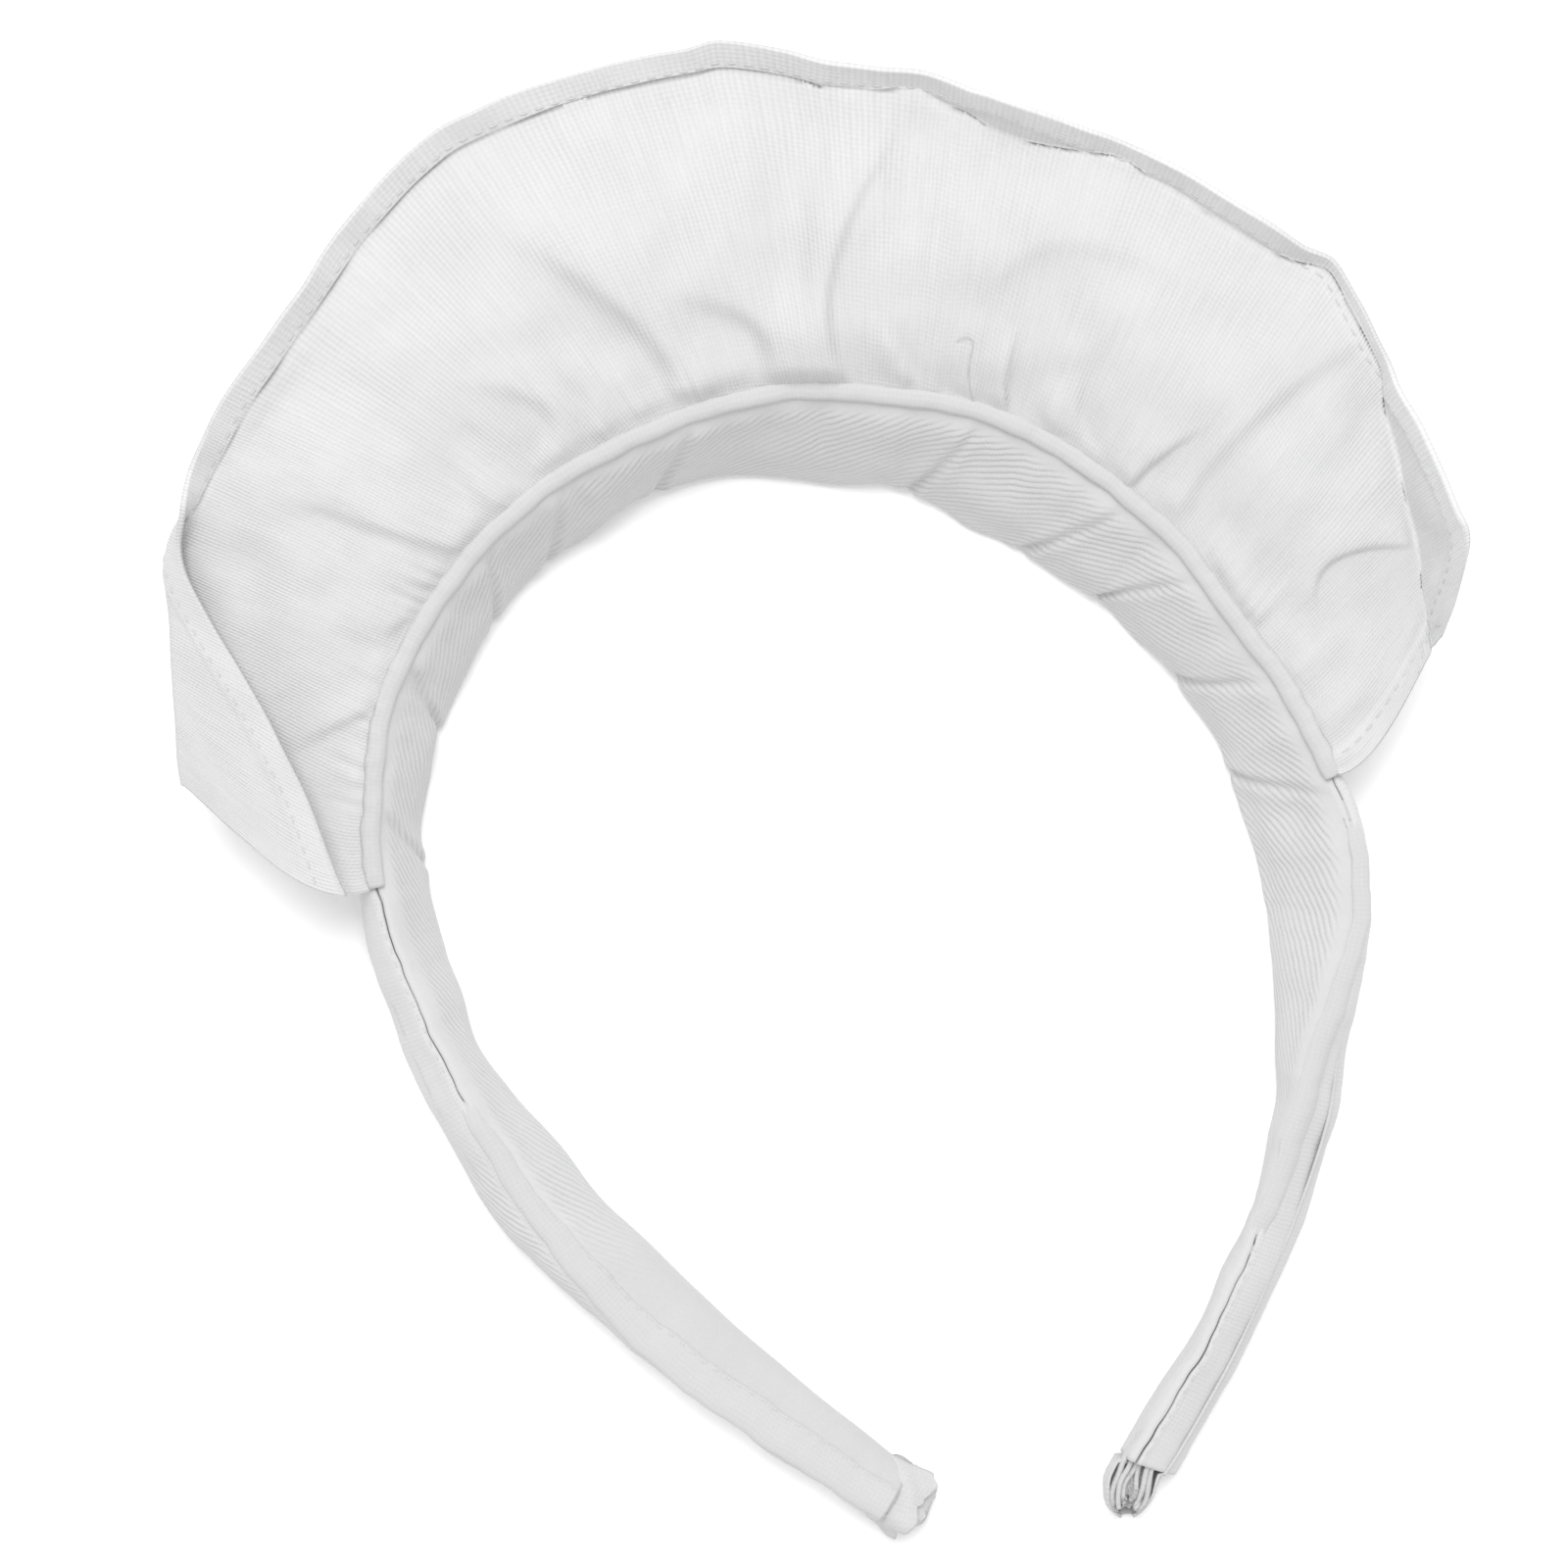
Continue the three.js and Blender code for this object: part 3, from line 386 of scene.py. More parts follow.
# Fine gathers at the seam
FINE_GATHERS = 47
FINE_GATHER_HEIGHT = 0.16
FINE_GATHER_FADE = 1.5
FINE_GATHER_LEVEL = 0.5
FINE_GATHER_MOST = 1.3

# Points along and across each sheet. The frill's go out to its fold, round the turn and
# over the flap.
GRIDS = {
    "lining": (700, 50),
    "cover": (620, 38),
    "edge": (220, 60),
    "welt": (460, 18),
    "filling": (520, 26),
    "tip": (46, 30),
    "frill": (545, (58, 10, 24)),
}

# Crumples: height, size and the seed of their draw
CRUMPLES = {
    "lining": (0.3, 13, 3),
    "cover": (0.3, 15, 5),
    "welt": (0.09, 4.4, 41),
    "filling": (0.18, 4, 17),
    "tip": (0.2, 3.5, 50),
    "frill": (0.7, 24, 11),
    "frill_fine": (0.14, 7, 12),
    "flap": (0.25, 9, 13),
}
CRUMPLE_WAVES = 14
CRUMPLE_LENGTHS = (0.7, 1.6)

# Lines that wander: how far, their wave's length and the seed of their draw
WANDERS = {
    "groove": (0.16, 12, 21),
    "draw": (2.4, 60, 31),
    "left_edge": (0.12, 17, 3),
    "right_edge": (0.12, 17, 4),
    "welt_side": (0.1, 19, 8),
    "welt_edge": (0.1, 4.5, 11),
    "welt_top": (0.05, 3.1, 12),
    "tip_edge": (1, 11, 0),
    "gather_swing": (2.2, 0.21, 4),
    "gather_strength": (0.8, 0.13, 6),
}
WANDER_OCTAVES = (1, 1.7, 2.9, 4.3)
WANDER_LEVEL = 1.6

# Soft rises from 0 to 1: where each starts, and how far on it ends
EASES = {
    "foot": (0, 0.15),
    "lip": (0, 0.12),
    "lip_cloth": (1, 2),
    "draw": (0.4, 0.5),
    "draw_ends": (0, 20),
    "crease": (0, 1),
    "edge_ends": (0, 7),
    "welt_left": (-1.2, 3),
    "welt_right": (-2.1, 6),
    "tip": (0.2, 0.6),
    "left_tip": (-3, 3),
    "fold_start": (-0.15, 0.3),
    "fold_end": (0.6, 0.65),
    "fold_root": (0, 0.09),
    "gather_root": (0, 0.04),
    "gather_end": (0, 0.3),
    "frill_hem": (0, 0.08),
    "calm_root": (0, 0.2),
    "calm_hem": (0.85, 0.15),
    "flap": (0.95, 0.05),
    "hem": (3.4, 0.4),
    "turned_up": (36, 16),
    "turned_over": (66, 20),
    "past_fold": (0.97, 0.03),
}

# Hollows of the lining on the right leg: place, radius, depth
HOLLOWS = table("x y radius depth", [
    (65.6, -13.3, 3.4, 0.7), (61.8, -22.5, 4.2, 0.5),
])

# Stitches: pitch, length, radius of the thread and how deep it sinks
BAND_STITCH = (1.9, 1.3, 0.11, 0.7)
HEM_STITCH = (2.1, 1.5, 0.1, 0.4)
HEM_STITCH_PLACE = 2.75
HEM_END_ROWS = 60
STITCH_POINTS = 7
STRAND_GUIDE = (0.3, 0.2, 1)
STRAND_TAPER = 0.35

# Stitches in the groove: where each line starts and ends, and how far out and up it lies
GROOVE_STITCHES = ((84, SEAM_START - 4), (TUBE_END - 33, TUBE_END - 1))
GROOVE_STITCH_OUT = 0.45
GROOVE_STITCH_UP = 0.02
GROOVE_STITCH_ROWS = 160
EDGE_STITCH_ROWS = 150
EDGE_STITCH_COLUMN = -4

# A loose thread on the frill and a fleck of lint on the inner wall: places and sizes
LOOSE_THREAD = table("x y up", [
    (29.6, 52.8, 0.15), (30.4, 53.4, 0.5), (31.2, 53.1, 0.6), (31.5, 52.3, 0.3),
    (30.9, 49.9, 0.12), (31, 46.9, 0.1), (31.3, 44.6, 0.1),
])
FLECK = (63.3, -29.0)
FLECK_SIZE = 0.7
FLECK_WALL = (300, 340, 200)
LINT_THREAD = 0.07
CURL_POINTS = 30
CURL_TURNS = (1.6, 2.3)
CURL_HEIGHTS = (0.5, 0.4)
PATH_POINTS = 40

# Pitches of the twill's ribs and of the threads
TWILL_PITCH = 0.92
TWILL_ANGLE = math.radians(35)
TWILL_WAY = (math.sin(TWILL_ANGLE), math.cos(TWILL_ANGLE))
TWILL_THREAD = 0.42
PLAIN_PITCH = 0.6
VOILE_PITCH = 0.56
SEWING_PITCH = 0.3

# How many pitches the threads wander sideways, and over what lengths on the cloth
RIB_WOBBLE = 0.5
TWILL_WOBBLE = 0.8
PLAIN_WOBBLE = 0.7
RIB_WOBBLE_SIZE = (6, 6)
PLAIN_WOBBLE_SIZE = (5, 9)
RIB_SHARPNESS = 0.5
RIB_SHARE = 0.84
TWILL_LEVEL = 0.75
# TWILL_TIP_SHADE_LEVELS is painted shade: the twill's level at the left tip and its rise away from
# it, so that the cloth near the tip is painted darker
TWILL_TIP_SHADE_LEVELS = (0.5, 0.25)
BACK_RIB_LEVELS = (2, -0.9)
PLAIN_LEVEL = 0.6
WEFT_PITCH = 1.1

# Where on the cloth the ribs fade: distances from the groove and from the left tip.
# Towards the left tip the twill is also painted darker, as painted shade
RIDGE_FADE = (2.4, 4.6)
HAND_FADE = (40, 62)
BACK_RIDGE_FADE = (1.8, 3.2)
BACK_TIP_FADE = (4, 12)
BACK_RIBS_END = (66, 84)

# Noise on every cloth: sizes in millimetres and strength
PATCHES = (17, 13)
GRAIN = (0.5, 0.5)
LINT = (0.7, 9)
TWILL_WEAR = (14, 5)
PLAIN_WEAR = (9, 7)
TWILL_WEAR_LEVELS = (1.2, 0.3)
PLAIN_WEAR_LEVEL = 1.7
PATCH_DETAIL = 3
PATCH_SHADE = 0.05
GRAIN_SHADE = 0.05
GRAIN_RELIEF = 0.3
SLUB_RELIEF = 4
COTTON = {
    "Roughness": 0.88,
    "Specular IOR Level": 0.25,
    "Sheen Weight": 0.12,
    "Sheen Roughness": 0.45,
}

# Camera: straight over the plan's zero point
CAMERA_HEIGHT = 458.0
FRAME_WIDTH = 208.0
FRAME_LEVEL = 8.0
CAMERA_ROLL = math.radians(-8.0)
SENSOR = 36.0

# Floor and light: sizes and places in metres, powers and colour
FLOOR_SIZE = 6
FLOOR_LOOKS = {"Roughness": 0.9, "Specular IOR Level": 0.1, "Base Color": (0.97, 0.97, 0.97, 1)}
LAMP_SIZE = 0.6
LAMP_POWER = 11.3
LAMP_PLACE = (0, 0.5, 1.15)
LAMP_TILT = math.radians(-23.5)
SURROUND = 0.94


def smooth_read(rows, at, column):
    """A column's smooth value between its rows, at places along the first column."""
    knots, values = next(iter(rows.values())), rows[column]
    at = np.asarray(at, float)
    slopes = np.empty_like(values)
    slopes[1:-1] = (values[2:] - values[:-2]) / (knots[2:] - knots[:-2])
    slopes[0] = (values[1] - values[0]) / (knots[1] - knots[0])
    slopes[-1] = (values[-1] - values[-2]) / (knots[-1] - knots[-2])
    first = np.clip(np.searchsorted(knots, at, side="left") - 1, 0, len(knots) - 2)
    span = knots[first + 1] - knots[first]
    t = (at - knots[first]) / span
    eased = t * t * (3 - 2 * t)
    pulls = t * (1 - t) ** 2 * slopes[first] + t * t * (t - 1) * slopes[first + 1]
    return values[first] + (values[first + 1] - values[first]) * eased + pulls * span


def ease(value, place):
    """The soft rise of a place, from 0 to 1."""
    start, span = EASES[place]
    t = np.clip((value - start) / span, 0, 1)
    return t * t * (3 - 2 * t)


def unit(vectors):
    """Vectors at length 1."""
    return vectors / np.maximum(np.linalg.norm(vectors, axis=-1, keepdims=True), 1e-9)


def grid_normals(grid):
    """Unit normals of a grid of points, on the side of row direction x column direction."""
    return unit(np.cross(np.gradient(grid, axis=0), np.gradient(grid, axis=1)))


def lifted(grid, height):
    """A grid of points moved along its normals."""
    return grid + grid_normals(grid) * np.asarray(height)[..., None]


def walked(grid, axis=0):
    """Distance along an axis of a grid, from its start to each point."""
    steps = np.linalg.norm(np.diff(grid, axis=axis), axis=-1)
    return np.cumsum(np.insert(steps, 0, 0, axis=axis), axis=axis)


def crumple(points, place, more=0):
    """The soft irregular waves of a place over a set of points."""
    height, size, seed = CRUMPLES[place]
    draw = np.random.default_rng(seed + more)
    total = np.zeros(points.shape[:-1])
    for _ in range(CRUMPLE_WAVES):
        way = unit(draw.normal(size=3))
        length = size * draw.uniform(*CRUMPLE_LENGTHS)
        total += np.sin(points @ way * (FULL_TURN / length) + draw.uniform(0, FULL_TURN))
    return height * (total / math.sqrt(CRUMPLE_WAVES * 2))


def wander(values, place, more=0):
    """The smooth random line of a place over an array of numbers."""
    height, length, seed = WANDERS[place]
    draw = np.random.default_rng(seed + more)
    values = np.asarray(values, float)
    total = np.zeros_like(values)
    for octave in WANDER_OCTAVES:
        start = draw.uniform(0, FULL_TURN)
        total += np.sin(values * (FULL_TURN * octave / length) + start) / octave
    return height * (total / WANDER_LEVEL)


def line_at(grid, measure, value):
    """The line across a grid's rows where a measure along each row reaches a value."""
    line = []
    for row, numbers, reached in zip(grid, measure, np.broadcast_to(value, len(grid))):
        order = np.argsort(numbers)
        line.append([np.interp(reached, numbers[order], row[order, k]) for k in range(3)])
    return np.array(line)


# Meshes

def sheet_faces(rows, columns):
    """Faces of a closed sheet between an upper and a lower grid of points."""
    index = np.arange(2 * rows * columns).reshape(2, rows, columns)

    def quads(a, b, c, d):
        return np.stack([a.ravel(), b.ravel(), c.ravel(), d.ravel()], axis=1)

    up, low = index
    faces = [
        quads(up[:-1, :-1], up[1:, :-1], up[1:, 1:], up[:-1, 1:]),
        quads(low[:-1, 1:], low[1:, 1:], low[1:, :-1], low[:-1, :-1]),
        quads(up[:-1, 0], low[:-1, 0], low[1:, 0], up[1:, 0]),
        quads(up[1:, -1], low[1:, -1], low[:-1, -1], up[:-1, -1]),
        quads(up[0, 1:], low[0, 1:], low[0, :-1], up[0, :-1]),
        quads(up[-1, :-1], low[-1, :-1], low[-1, 1:], up[-1, 1:]),
    ]
    return np.concatenate(faces)


def sheet_part(upper, lower, cloth):
    """Points, faces and cloth places of a closed sheet between two grids."""
    return np.stack([upper, lower]), sheet_faces(*upper.shape[:2]), np.stack([cloth, cloth])


def new_piece(name, points, faces, cloth, hem=None):
    """A smooth mesh from points in millimetres. cloth holds each point's place on the
    flat cloth, also in millimetres, and hem the value of its "hem" attribute: how far it
    belongs to a hem, and on the frill also painted light on its turned-up strips."""
    mesh = bpy.data.meshes.new(name)
    placed = (points.reshape(-1, 3) + PLAN_SHIFT) * MM
    mesh.vertices.add(len(placed))
    mesh.vertices.foreach_set("co", placed.ravel())
    mesh.loops.add(faces.size)
    mesh.loops.foreach_set("vertex_index", faces.ravel())
    mesh.polygons.add(len(faces))
    mesh.polygons.foreach_set("loop_start", np.arange(len(faces)) * faces.shape[1])
    mesh.polygons.foreach_set("use_smooth", np.ones(len(faces), bool))
    mesh.update(calc_edges=True)
    layer = mesh.uv_layers.new(name="cloth")
    layer.data.foreach_set("uv", cloth.reshape(-1, 2)[faces.ravel()].ravel())
    share = mesh.attributes.new("hem", "FLOAT", "POINT")
    share.data.foreach_set("value", np.zeros(len(placed)) if hem is None else hem.ravel())
    mesh.validate()
    piece = bpy.data.objects.new(name, mesh)
    bpy.context.scene.collection.objects.link(piece)
    return piece


def join_parts(name, parts):
    """One piece from several sets of points, faces and cloth places."""
    points, faces, cloth = [], [], []
    count = 0
    for part_points, part_faces, part_cloth in parts:
        points.append(part_points.reshape(-1, 3))
        faces.append(part_faces + count)
        cloth.append(part_cloth.reshape(-1, 2))
        count += len(points[-1])
    return new_piece(name, np.concatenate(points), np.concatenate(faces), np.concatenate(cloth))


def cloth_sheet(name, upper, lower, cloth):
    """A closed sheet of cloth between two grids."""
    return new_piece(name, *sheet_part(upper, lower, cloth))


def flat_places(grid):
    """Each point's place on the flat cloth, from its distances along the rows and columns."""
    across = walked(grid, 1)
    along = walked(grid[:, grid.shape[1] // 2])
    return np.stack([np.broadcast_to(along[:, None], across.shape), across], axis=-1)


def strands(paths, radius, sides=6):
    """Threads with closed ends along paths: (threads, points, 3)."""
    tangent = unit(np.gradient(paths, axis=1))
    side = unit(np.cross(tangent, STRAND_GUIDE))
    above = np.cross(tangent, side)
    steps = paths.shape[1]
    taper = np.sin(math.pi * (np.arange(steps) + 0.5) / steps) ** STRAND_TAPER
    turn = FULL_TURN * np.arange(sides) / sides
    ring = side[:, :, None] * np.cos(turn)[:, None] + above[:, :, None] * np.sin(turn)[:, None]
    points = paths[:, :, None] + ring * (radius * taper)[:, None, None]
    index = np.arange(len(paths) * steps * sides).reshape(len(paths), steps, sides)
    after = np.roll(index, -1, axis=2)
    corners = (index[:, :-1], after[:, :-1], after[:, 1:], index[:, 1:])
    walls = np.stack(corners, axis=-1).reshape(-1, 4)
    first, last = index[:, 0], index[:, -1]
    ends = []
    for k in range(sides // 2 - 1):
        around = [k, k + 1, sides - 2 - k, sides - 1 - k]
        ends.append(first[:, around[::-1]])
        ends.append(last[:, around])
    length = np.broadcast_to(np.arange(steps)[None, :, None] * radius, index.shape)
    round_places = np.broadcast_to(turn[None, None] * radius, index.shape)
    return points, np.concatenate([walls, *ends]), np.stack([length, round_places], axis=-1)


def stitches(line, normals, stitch):
    """Stitches along a line that lies on cloth: short threads that dip in at both ends."""
    pitch, length, radius, sink = stitch
    reach = walked(line)
    count = int((reach[-1] - length) / pitch) + 1
    starts = (reach[-1] - (count - 1) * pitch - length) / 2 + pitch * np.arange(count)
    share = np.linspace(0, 1, STITCH_POINTS)
    at = starts[:, None] + length * share
    place = np.stack([np.interp(at, reach, line[:, k]) for k in range(3)], axis=-1)
    lift = unit(np.stack([np.interp(at, reach, normals[:, k]) for k in range(3)], axis=-1))
    arch = radius * (2 * np.sin(math.pi * share) ** 0.5 - 1 - sink)
    return strands(place + lift * arch[:, None], radius)


# Band

def band_sections(along):
    """The band's section at each distance along its front edge."""
    along = np.asarray(along, float)
    first, last = BAND["along"][[0, -1]]
    behind, ahead = (
        [smooth_read(BAND, np.clip(along + way * SECTION_STEP, first, last), c) for c in "xy"]
        for way in (-1, 1)
    )
    tangent = unit(np.stack(ahead, axis=-1) - np.stack(behind, axis=-1))
    section = {c: smooth_read(BAND, along, c) for c in ("x", "y", "depth", "inner", "back")}
    section["outward"] = np.stack([-tangent[..., 1], tangent[..., 0]], axis=-1)
    section["along"] = along
    return section


def in_section(section, out, height):
    """Points of the sections: out is measured from the front edge, away from the head."""
    out = np.asarray(out, float)
    height = np.broadcast_to(height, out.shape)
    extra = (None,) * (out.ndim - 1)
    x = section["x"][(..., *extra)] + section["outward"][..., 0][(..., *extra)] * out
    y = section["y"][(..., *extra)] + section["outward"][..., 1][(..., *extra)] * out
    return np.stack([x, y, height], axis=-1)


def back_foot(section):
    """Where the back wall meets the floor."""
    return np.maximum(FOOT_THICKNESS - section["inner"], section["back"] - FOOT_TUCK)


def groove_places(section):
    """Half the width of the groove along the ridge, and how far it wanders outward."""
    along = section["along"][:, None]
    return smooth_read(GROOVE, along, "gape"), wander(along, "groove")


def lining_outline(section):
    """The inner wall and foot, from the groove down and flat along the floor: out and
    height, (sections, points)."""
    rows = LINING_OUTLINE
    pucker = smooth_read(PUCKERS, section["along"][:, None] - PUCKER_SLANT * rows["rise"], "pull")
    gape, sway = groove_places(section)
    out = -rows["lean"] * section["inner"][:, None] - rows["swell"] - rows["pull"] * pucker
    out += sway * rows["rise"]
    out[:, 1:] = np.minimum(out[:, 1:], sway - gape)
    height = rows["rise"] * section["depth"][:, None] + rows["up"]
    foot = (back_foot(section) - SOLID_CLOTH - FOOT_CLEAR)[:, None]
    height = np.concatenate([height, 0 * foot + rows["up"][-1]], axis=1)
    return np.concatenate([out, foot], axis=1), height


def cover_outline(section):
    """The back wall, from its foot up to the groove: out and height, (sections, points)."""
    rows = COVER_OUTLINE
    gape, sway = groove_places(section)
    out = rows["swing"] * section["back"][:, None] + rows["out"] + sway * rows["rise"]
    out[:, :-1] = np.maximum(out[:, :-1], sway + gape)
    height = rows["rise"] * section["depth"][:, None] + rows["up"]
    foot = back_foot(section)[:, None]
    height = np.concatenate([0 * foot + CLEAR, height], axis=1)
    return np.concatenate([foot, out], axis=1), height


def outline_surface(section, out, height, columns):
    """A smooth surface through an outline's points in every section, where out and
    height are (sections, points)."""
    outline = np.stack([out, height], axis=-1)
    sections, corners, _ = outline.shape
    steps = np.linalg.norm(np.diff(outline, axis=1), axis=-1).mean(axis=0) + LEAST_STEP
    knots = np.concatenate([[0], np.cumsum(steps)])
    at = np.linspace(0, knots[-1], columns)
    flat = np.moveaxis(outline, 1, 0).reshape(corners, -1)
    rows = {"knot": knots, **{i: flat[:, i] for i in range(flat.shape[1])}}
    lines = np.stack([smooth_read(rows, at, i) for i in range(flat.shape[1])])
    lines = lines.reshape(sections, 2, columns)
    return in_section(section, lines[:, 0], lines[:, 1])


def hollow_at(points):
    """Depth of the lining's hollows."""
    depth = np.zeros(points.shape[:-1])
    for x, y, radius, deep in zip(*HOLLOWS.values()):
        reach = np.hypot(points[..., 0] - x, points[..., 1] - y) / radius
        depth += deep * np.exp(-(reach ** 2))
    return depth


def crease_places():
    """Where two puckers of the inner wall's foot meet."""
    along = np.linspace(SEAM_START, SEAM_END, CREASE_SEARCH)
    pull = smooth_read(PUCKERS, along, "pull")
    least = (pull[1:-1] < pull[:-2]) & (pull[1:-1] <= pull[2:])
    return along[1:-1][least]


def free_share(height):
    """How free the wall is at a share of its height: not at its foot and its lip."""
    return ease(height, "foot") * ease(1 - height, "lip")


def lining_surface(along, columns):
    """The inner wall's outer side at each distance along the front edge, and its places
    on the flat cloth."""
    section = band_sections(along)
    outer = outline_surface(section, *lining_outline(section), columns)
    height = outer[..., 2] / section["depth"][:, None]
    along = section["along"]
    gathered = ease(along - SEAM_START, "draw_ends")
    gathered = gathered * ease(SEAM_END + DRAW_PAST - along, "draw_ends")
    drawn = gathered * np.sin(FULL_TURN * along / DRAW_PITCH + wander(along, "draw"))
    draw = DRAW_HEIGHT * drawn[:, None] * ease(height, "draw")
    creases = np.zeros_like(height)
    for place in crease_places():
        gap = along[:, None] - PUCKER_SLANT * height - place
        bulge = np.exp(-((gap / BULGE_WIDTH) ** 2))
        bulge -= CREASE_SHARPNESS * np.exp(-((gap / CREASE_WIDTH) ** 2))
        creases -= CREASE_DEPTH * bulge * (1 - CREASE_FADE * ease(height, "crease"))
    relief = (crumple(outer, "lining") + draw + creases + hollow_at(outer)) * free_share(height)
    outer = lifted(outer, relief)
    outer[..., 2] = np.maximum(outer[..., 2], FLOOR_CLEAR)
    return outer, flat_places(outer)


def cover_surface(along, columns):
    """The back wall's outer side, and its places on the flat cloth, from the groove down."""
    section = band_sections(along)
    outer = outline_surface(section, *cover_outline(section), columns)
    height = outer[..., 2] / section["depth"][:, None]
    outer = lifted(outer, crumple(outer, "cover") * free_share(height))
    return outer, flat_places(outer[:, ::-1])[:, ::-1]


def make_wall(name, surface, cloth):
    """One wall of the tube, whose cloth thins out towards its lip in the groove."""
    rows, columns = GRIDS[name]
    outer, places = surface(np.linspace(TUBE_START, TUBE_END, rows), columns)
    thickness = LIP_CLOTH + (cloth - LIP_CLOTH) * ease(places[..., 1], "lip_cloth")
    return cloth_sheet(name, lifted(outer, thickness), outer, places)


def make_edge(edge, place):
    """The cloth folded over the ridge: its upper and lower side and its normals."""
    rows, columns = GRIDS["edge"]
    along = np.linspace(edge["along"][0], edge["along"][-1], rows)
    lining, lining_places = lining_surface(along, columns)
    cover, cover_places = cover_surface(along, columns)
    inner = smooth_read(edge, along, "inner") + wander(along, place)
    back = smooth_read(edge, along, "back")
    back_points, inner_points = EDGE_POINTS
    lines = [
        line_at(cover, cover_places[..., 1], EDGE_LIP + back * share)
        for share in np.linspace(1, 0, back_points)
    ]
    lines += [
        line_at(lining, lining_places[..., 1], EDGE_LIP + inner * share)
        for share in np.linspace(0, 1, inner_points)
    ]
    grid = np.stack(lines, axis=1)
    normals = -grid_normals(grid)
    middle = 1 - np.abs(np.linspace(-1, 1, grid.shape[1])) ** EDGE_SQUARENESS
    ends = ease(edge["along"][-1] - along, "edge_ends")
    if edge["along"][0] > SEAM_END:
        ends = ends * ease(along - edge["along"][0], "edge_ends")
    ends = ends[:, None]
    rise = (EDGE_LIFT + EDGE_RISE * middle) * ends - EDGE_SINK * (1 - ends)
    return grid + normals * rise[..., None], grid - normals * EDGE_UNDER, normals


def make_welt():
    """The folded strip over the seam between the gathers and the lining."""
    rows, columns = GRIDS["welt"]
    along = np.linspace(SEAM_START, SEAM_END, rows)
    section = band_sections(along)
    ends = (ease(along - SEAM_START, "welt_left") * ease(SEAM_END - along, "welt_right"))[:, None]
    out = WELT_OUTLINE["out"] * (WELT_END_WIDTH + (1 - WELT_END_WIDTH) * ends)
    height = section["depth"][:, None] + WELT_SEAT + (WELT_OUTLINE["up"] - WELT_SEAT) * ends
    out += wander(along, "welt_side")[:, None]
    out[:, -2:] += wander(along, "welt_edge")[:, None]
    height[:, 3:] += wander(along, "welt_top")[:, None]
    upper = outline_surface(section, out, height, columns)
    upper = lifted(upper, -crumple(upper, "welt"))
    return cloth_sheet("welt", lifted(upper, LAYER_CLOTH), upper, flat_places(upper))


def layer_outline(rows, tip, height=1, deep=1):
    """Outline of a layer past the tube's end: out and share of the depth."""
    inner, low = tip["inner"][:, None], tip["low"][:, None]
    back = np.maximum(tip["back"][:, None], inner + LEAST_OPENING)
    top = low + (tip["top"][:, None] - low) * height
    rise = 1 - deep * (1 - rows["rise"])
    return inner + (back - inner) * rows["across"], low + (top - low) * rise


def tip_sizes(along):
    """The bag's sides and heights at each distance along the front edge."""
    return {c: smooth_read(TIPS, along, c) for c in ("inner", "back", "top", "low")}


def make_filling():
    """The strip folded up inside the tube, whose ends stick out at both tips."""
    rows, columns = GRIDS["filling"]
    along = np.linspace(TIPS["along"][0], TIPS["along"][-1], rows)
    section = band_sections(along)
    lean = STRIP_LEAN * section["inner"]
    inside = {
        "inner": lean + STRIP_INNER,
        "back": np.maximum(section["back"] - STRIP_BACK, lean + STRIP_LEAST_BACK),
        "top": STRIP_TOP,
        "low": STRIP_LOW,
    }
    at_tip = ease(TUBE_START - along, "tip") + ease(along - TUBE_END, "tip")
    tip = tip_sizes(along)
    sizes = {c: inside[c] + (tip[c] - inside[c]) * at_tip for c in tip}
    left_out, left_height = layer_outline(LEFT_LAYER, sizes)
    right_out, right_height = layer_outline(RIGHT_LAYER, sizes)
    at_left = ease(TUBE_START - along, "left_tip")[:, None]
    out = right_out + (left_out - right_out) * at_left
    height = right_height + (left_height - right_height) * at_left
    upper = outline_surface(section, out, section["depth"][:, None] * height, columns)
    upper = lifted(upper, crumple(upper, "filling") * at_tip[:, None])
    return cloth_sheet("filling", upper, lifted(upper, -LAYER_CLOTH), flat_places(upper))


